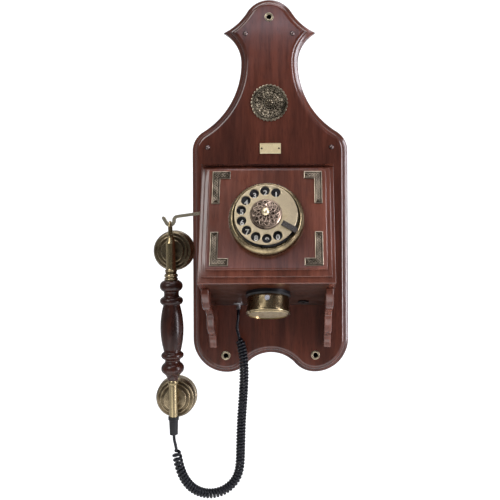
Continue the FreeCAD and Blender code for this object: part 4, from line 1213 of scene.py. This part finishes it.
# %% Name plate and eased edges
def name_plate_height(x, y):
    rim = min(x, y, 28 - x, 14 - y)
    return 1.2 if rim < 1.0 else 0.85


place = on_board(1 - 14, -176 - 7)
plate = relief("blank_name_plate", np.arange(0, 28.1, 0.5), np.arange(0, 14.1, 0.5), name_plate_height,
               place, lambda x, y: True)
dress(plate, "bright_brass", "root", "name_plate", finish="plate_brass")

EASED = {
    "left_side_panel": 0.8, "right_side_panel": 0.8, "top_panel": 0.8, "bottom_panel": 0.6,
    "hook_lever": 0.5, "finger_stop": 0.3, "ringer_base": 0.5, "ringer_screw": 0.3, "cord_clamp": 0.4,
    "cord_sleeve": 0.5, "lower_collar": 0.3, "line_grommet": 0.4, "ringer_grille": 0.2,
}
for node, width in EASED.items():
    ease(NODES[node], width, 3)
print(len(EASED), "nodes with eased edges")


# %% [markdown]
# ## Studio
# A pale floor curves up far behind the telephone, so no edge shows. Glossy wood is drawn by what
# it reflects: a tall bright panel on the right lights the moulded edges, a wide soft one on the
# left lights the rest, and the side behind the camera stays dim, so that the stain keeps its depth.

# %% Floor
def make_floor():
    half, floor, wall, bend = 3.5, -0.78, 2.2, 1.2
    profile = [(-1.2, floor)]
    profile += [(wall - bend + y, floor + bend + z) for y, z in arc((0, 0), bend, -90, 0, 24)]
    profile.append((wall, 3.2))
    points = [(x, y, z) for x in (-half, half) for y, z in profile]
    count = len(profile)
    faces = [(i, i + 1, count + i + 1, count + i) for i in range(count - 1)]
    floor_piece = finish_mesh("studio_floor", points, faces, sharp=60)
    paper, tree, shader = principled("studio_paper")
    fibre = add(tree, "TexNoise", {"Vector": object_place(tree), "Scale": 60.0, "Detail": 3.0})
    tree.links.new(ramp(tree, fibre.outputs["Fac"], [(0.3, 0.60), (0.7, 0.64)]), shader.inputs["Base Color"])
    shader.inputs["Roughness"].default_value = 0.9
    shader.inputs["Emission Color"].default_value = (0.97, 0.98, 1.0, 1)
    tree.links.new(between(tree, add(tree, "LightPath").outputs["Is Camera Ray"], 0.0, 0.62),
                   shader.inputs["Emission Strength"])
    floor_piece.data.materials.append(paper)
    floor_piece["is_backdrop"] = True


make_floor()


# %% Lights
def soft_panel(name, place, target, width, height, power, colour=(1, 1, 1)):
    light = bpy.data.lights.new(name, "AREA")
    light.shape = "RECTANGLE"
    light.size = width
    light.size_y = height
    light.energy = power
    light.color = colour
    lamp = stand(name, light)
    lamp.location = place
    lamp.rotation_euler = (Vector(target) - Vector(place)).to_track_quat("-Z", "Y").to_euler()
    lamp.visible_camera = False


CENTRE = (-0.01, -0.06, -0.26)
soft_panel("left_panel", (-0.95, -1.35, 0.80), CENTRE, 0.8, 1.0, 14)
soft_panel("right_panel", (1.25, -0.60, -0.20), CENTRE, 0.28, 1.5, 20, (0.94, 0.92, 1.0))
soft_panel("low_panel", (-0.10, -0.30, -0.765), (-0.10, -0.20, 0.0), 0.9, 0.3, 1.2)
soft_panel("front_low_panel", (-0.32, -0.66, -0.76), (-0.05, -0.1, -0.36), 0.5, 0.22, 0.35)
soft_panel("crown_panel", (0.0, -1.05, 0.27), (0, 0, 0), 0.7, 0.07, 0.45, (0.84, 0.84, 1.0))
soft_panel("top_panel", (0.15, -0.50, 1.15), CENTRE, 1.0, 0.5, 6, (0.93, 0.90, 1.0))
soft_panel("wall_panel", (0.0, 0.55, 1.6), (0.0, 2.2, -0.2), 2.4, 0.8, 34)


def make_sky():
    world = bpy.data.worlds.new("studio_sky")
    world.use_nodes = True
    tree = world.node_tree
    background = tree.nodes["Background"]
    direction = add(tree, "TexCoord").outputs["Generated"]
    parts = add(tree, "SeparateXYZ", {"Vector": direction})
    behind = between(tree, parts.outputs["Y"], 0.10, 0.50, -0.9, 0.6)
    seen = add(tree, "LightPath").outputs["Is Camera Ray"]
    strength = add(tree, "Mix", {0: seen, 2: behind, 3: 0.97}, data_type="FLOAT").outputs[0]
    tree.links.new(strength, background.inputs["Strength"])
    background.inputs["Color"].default_value = (0.97, 0.98, 1.0, 1)
    bpy.context.scene.world = world


make_sky()
bpy.context.scene.view_settings.view_transform = "Standard"


# %% [markdown]
# ## The size of the model
# The boxes of the visual model and of the CAD model are printed.

# %% Finish
VISUAL_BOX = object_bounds()
boxes = {"cad": CAD_BOX, "visual": VISUAL_BOX}
for name, box in boxes.items():
    print(name, [[round(v, 4) for v in corner] for corner in box])
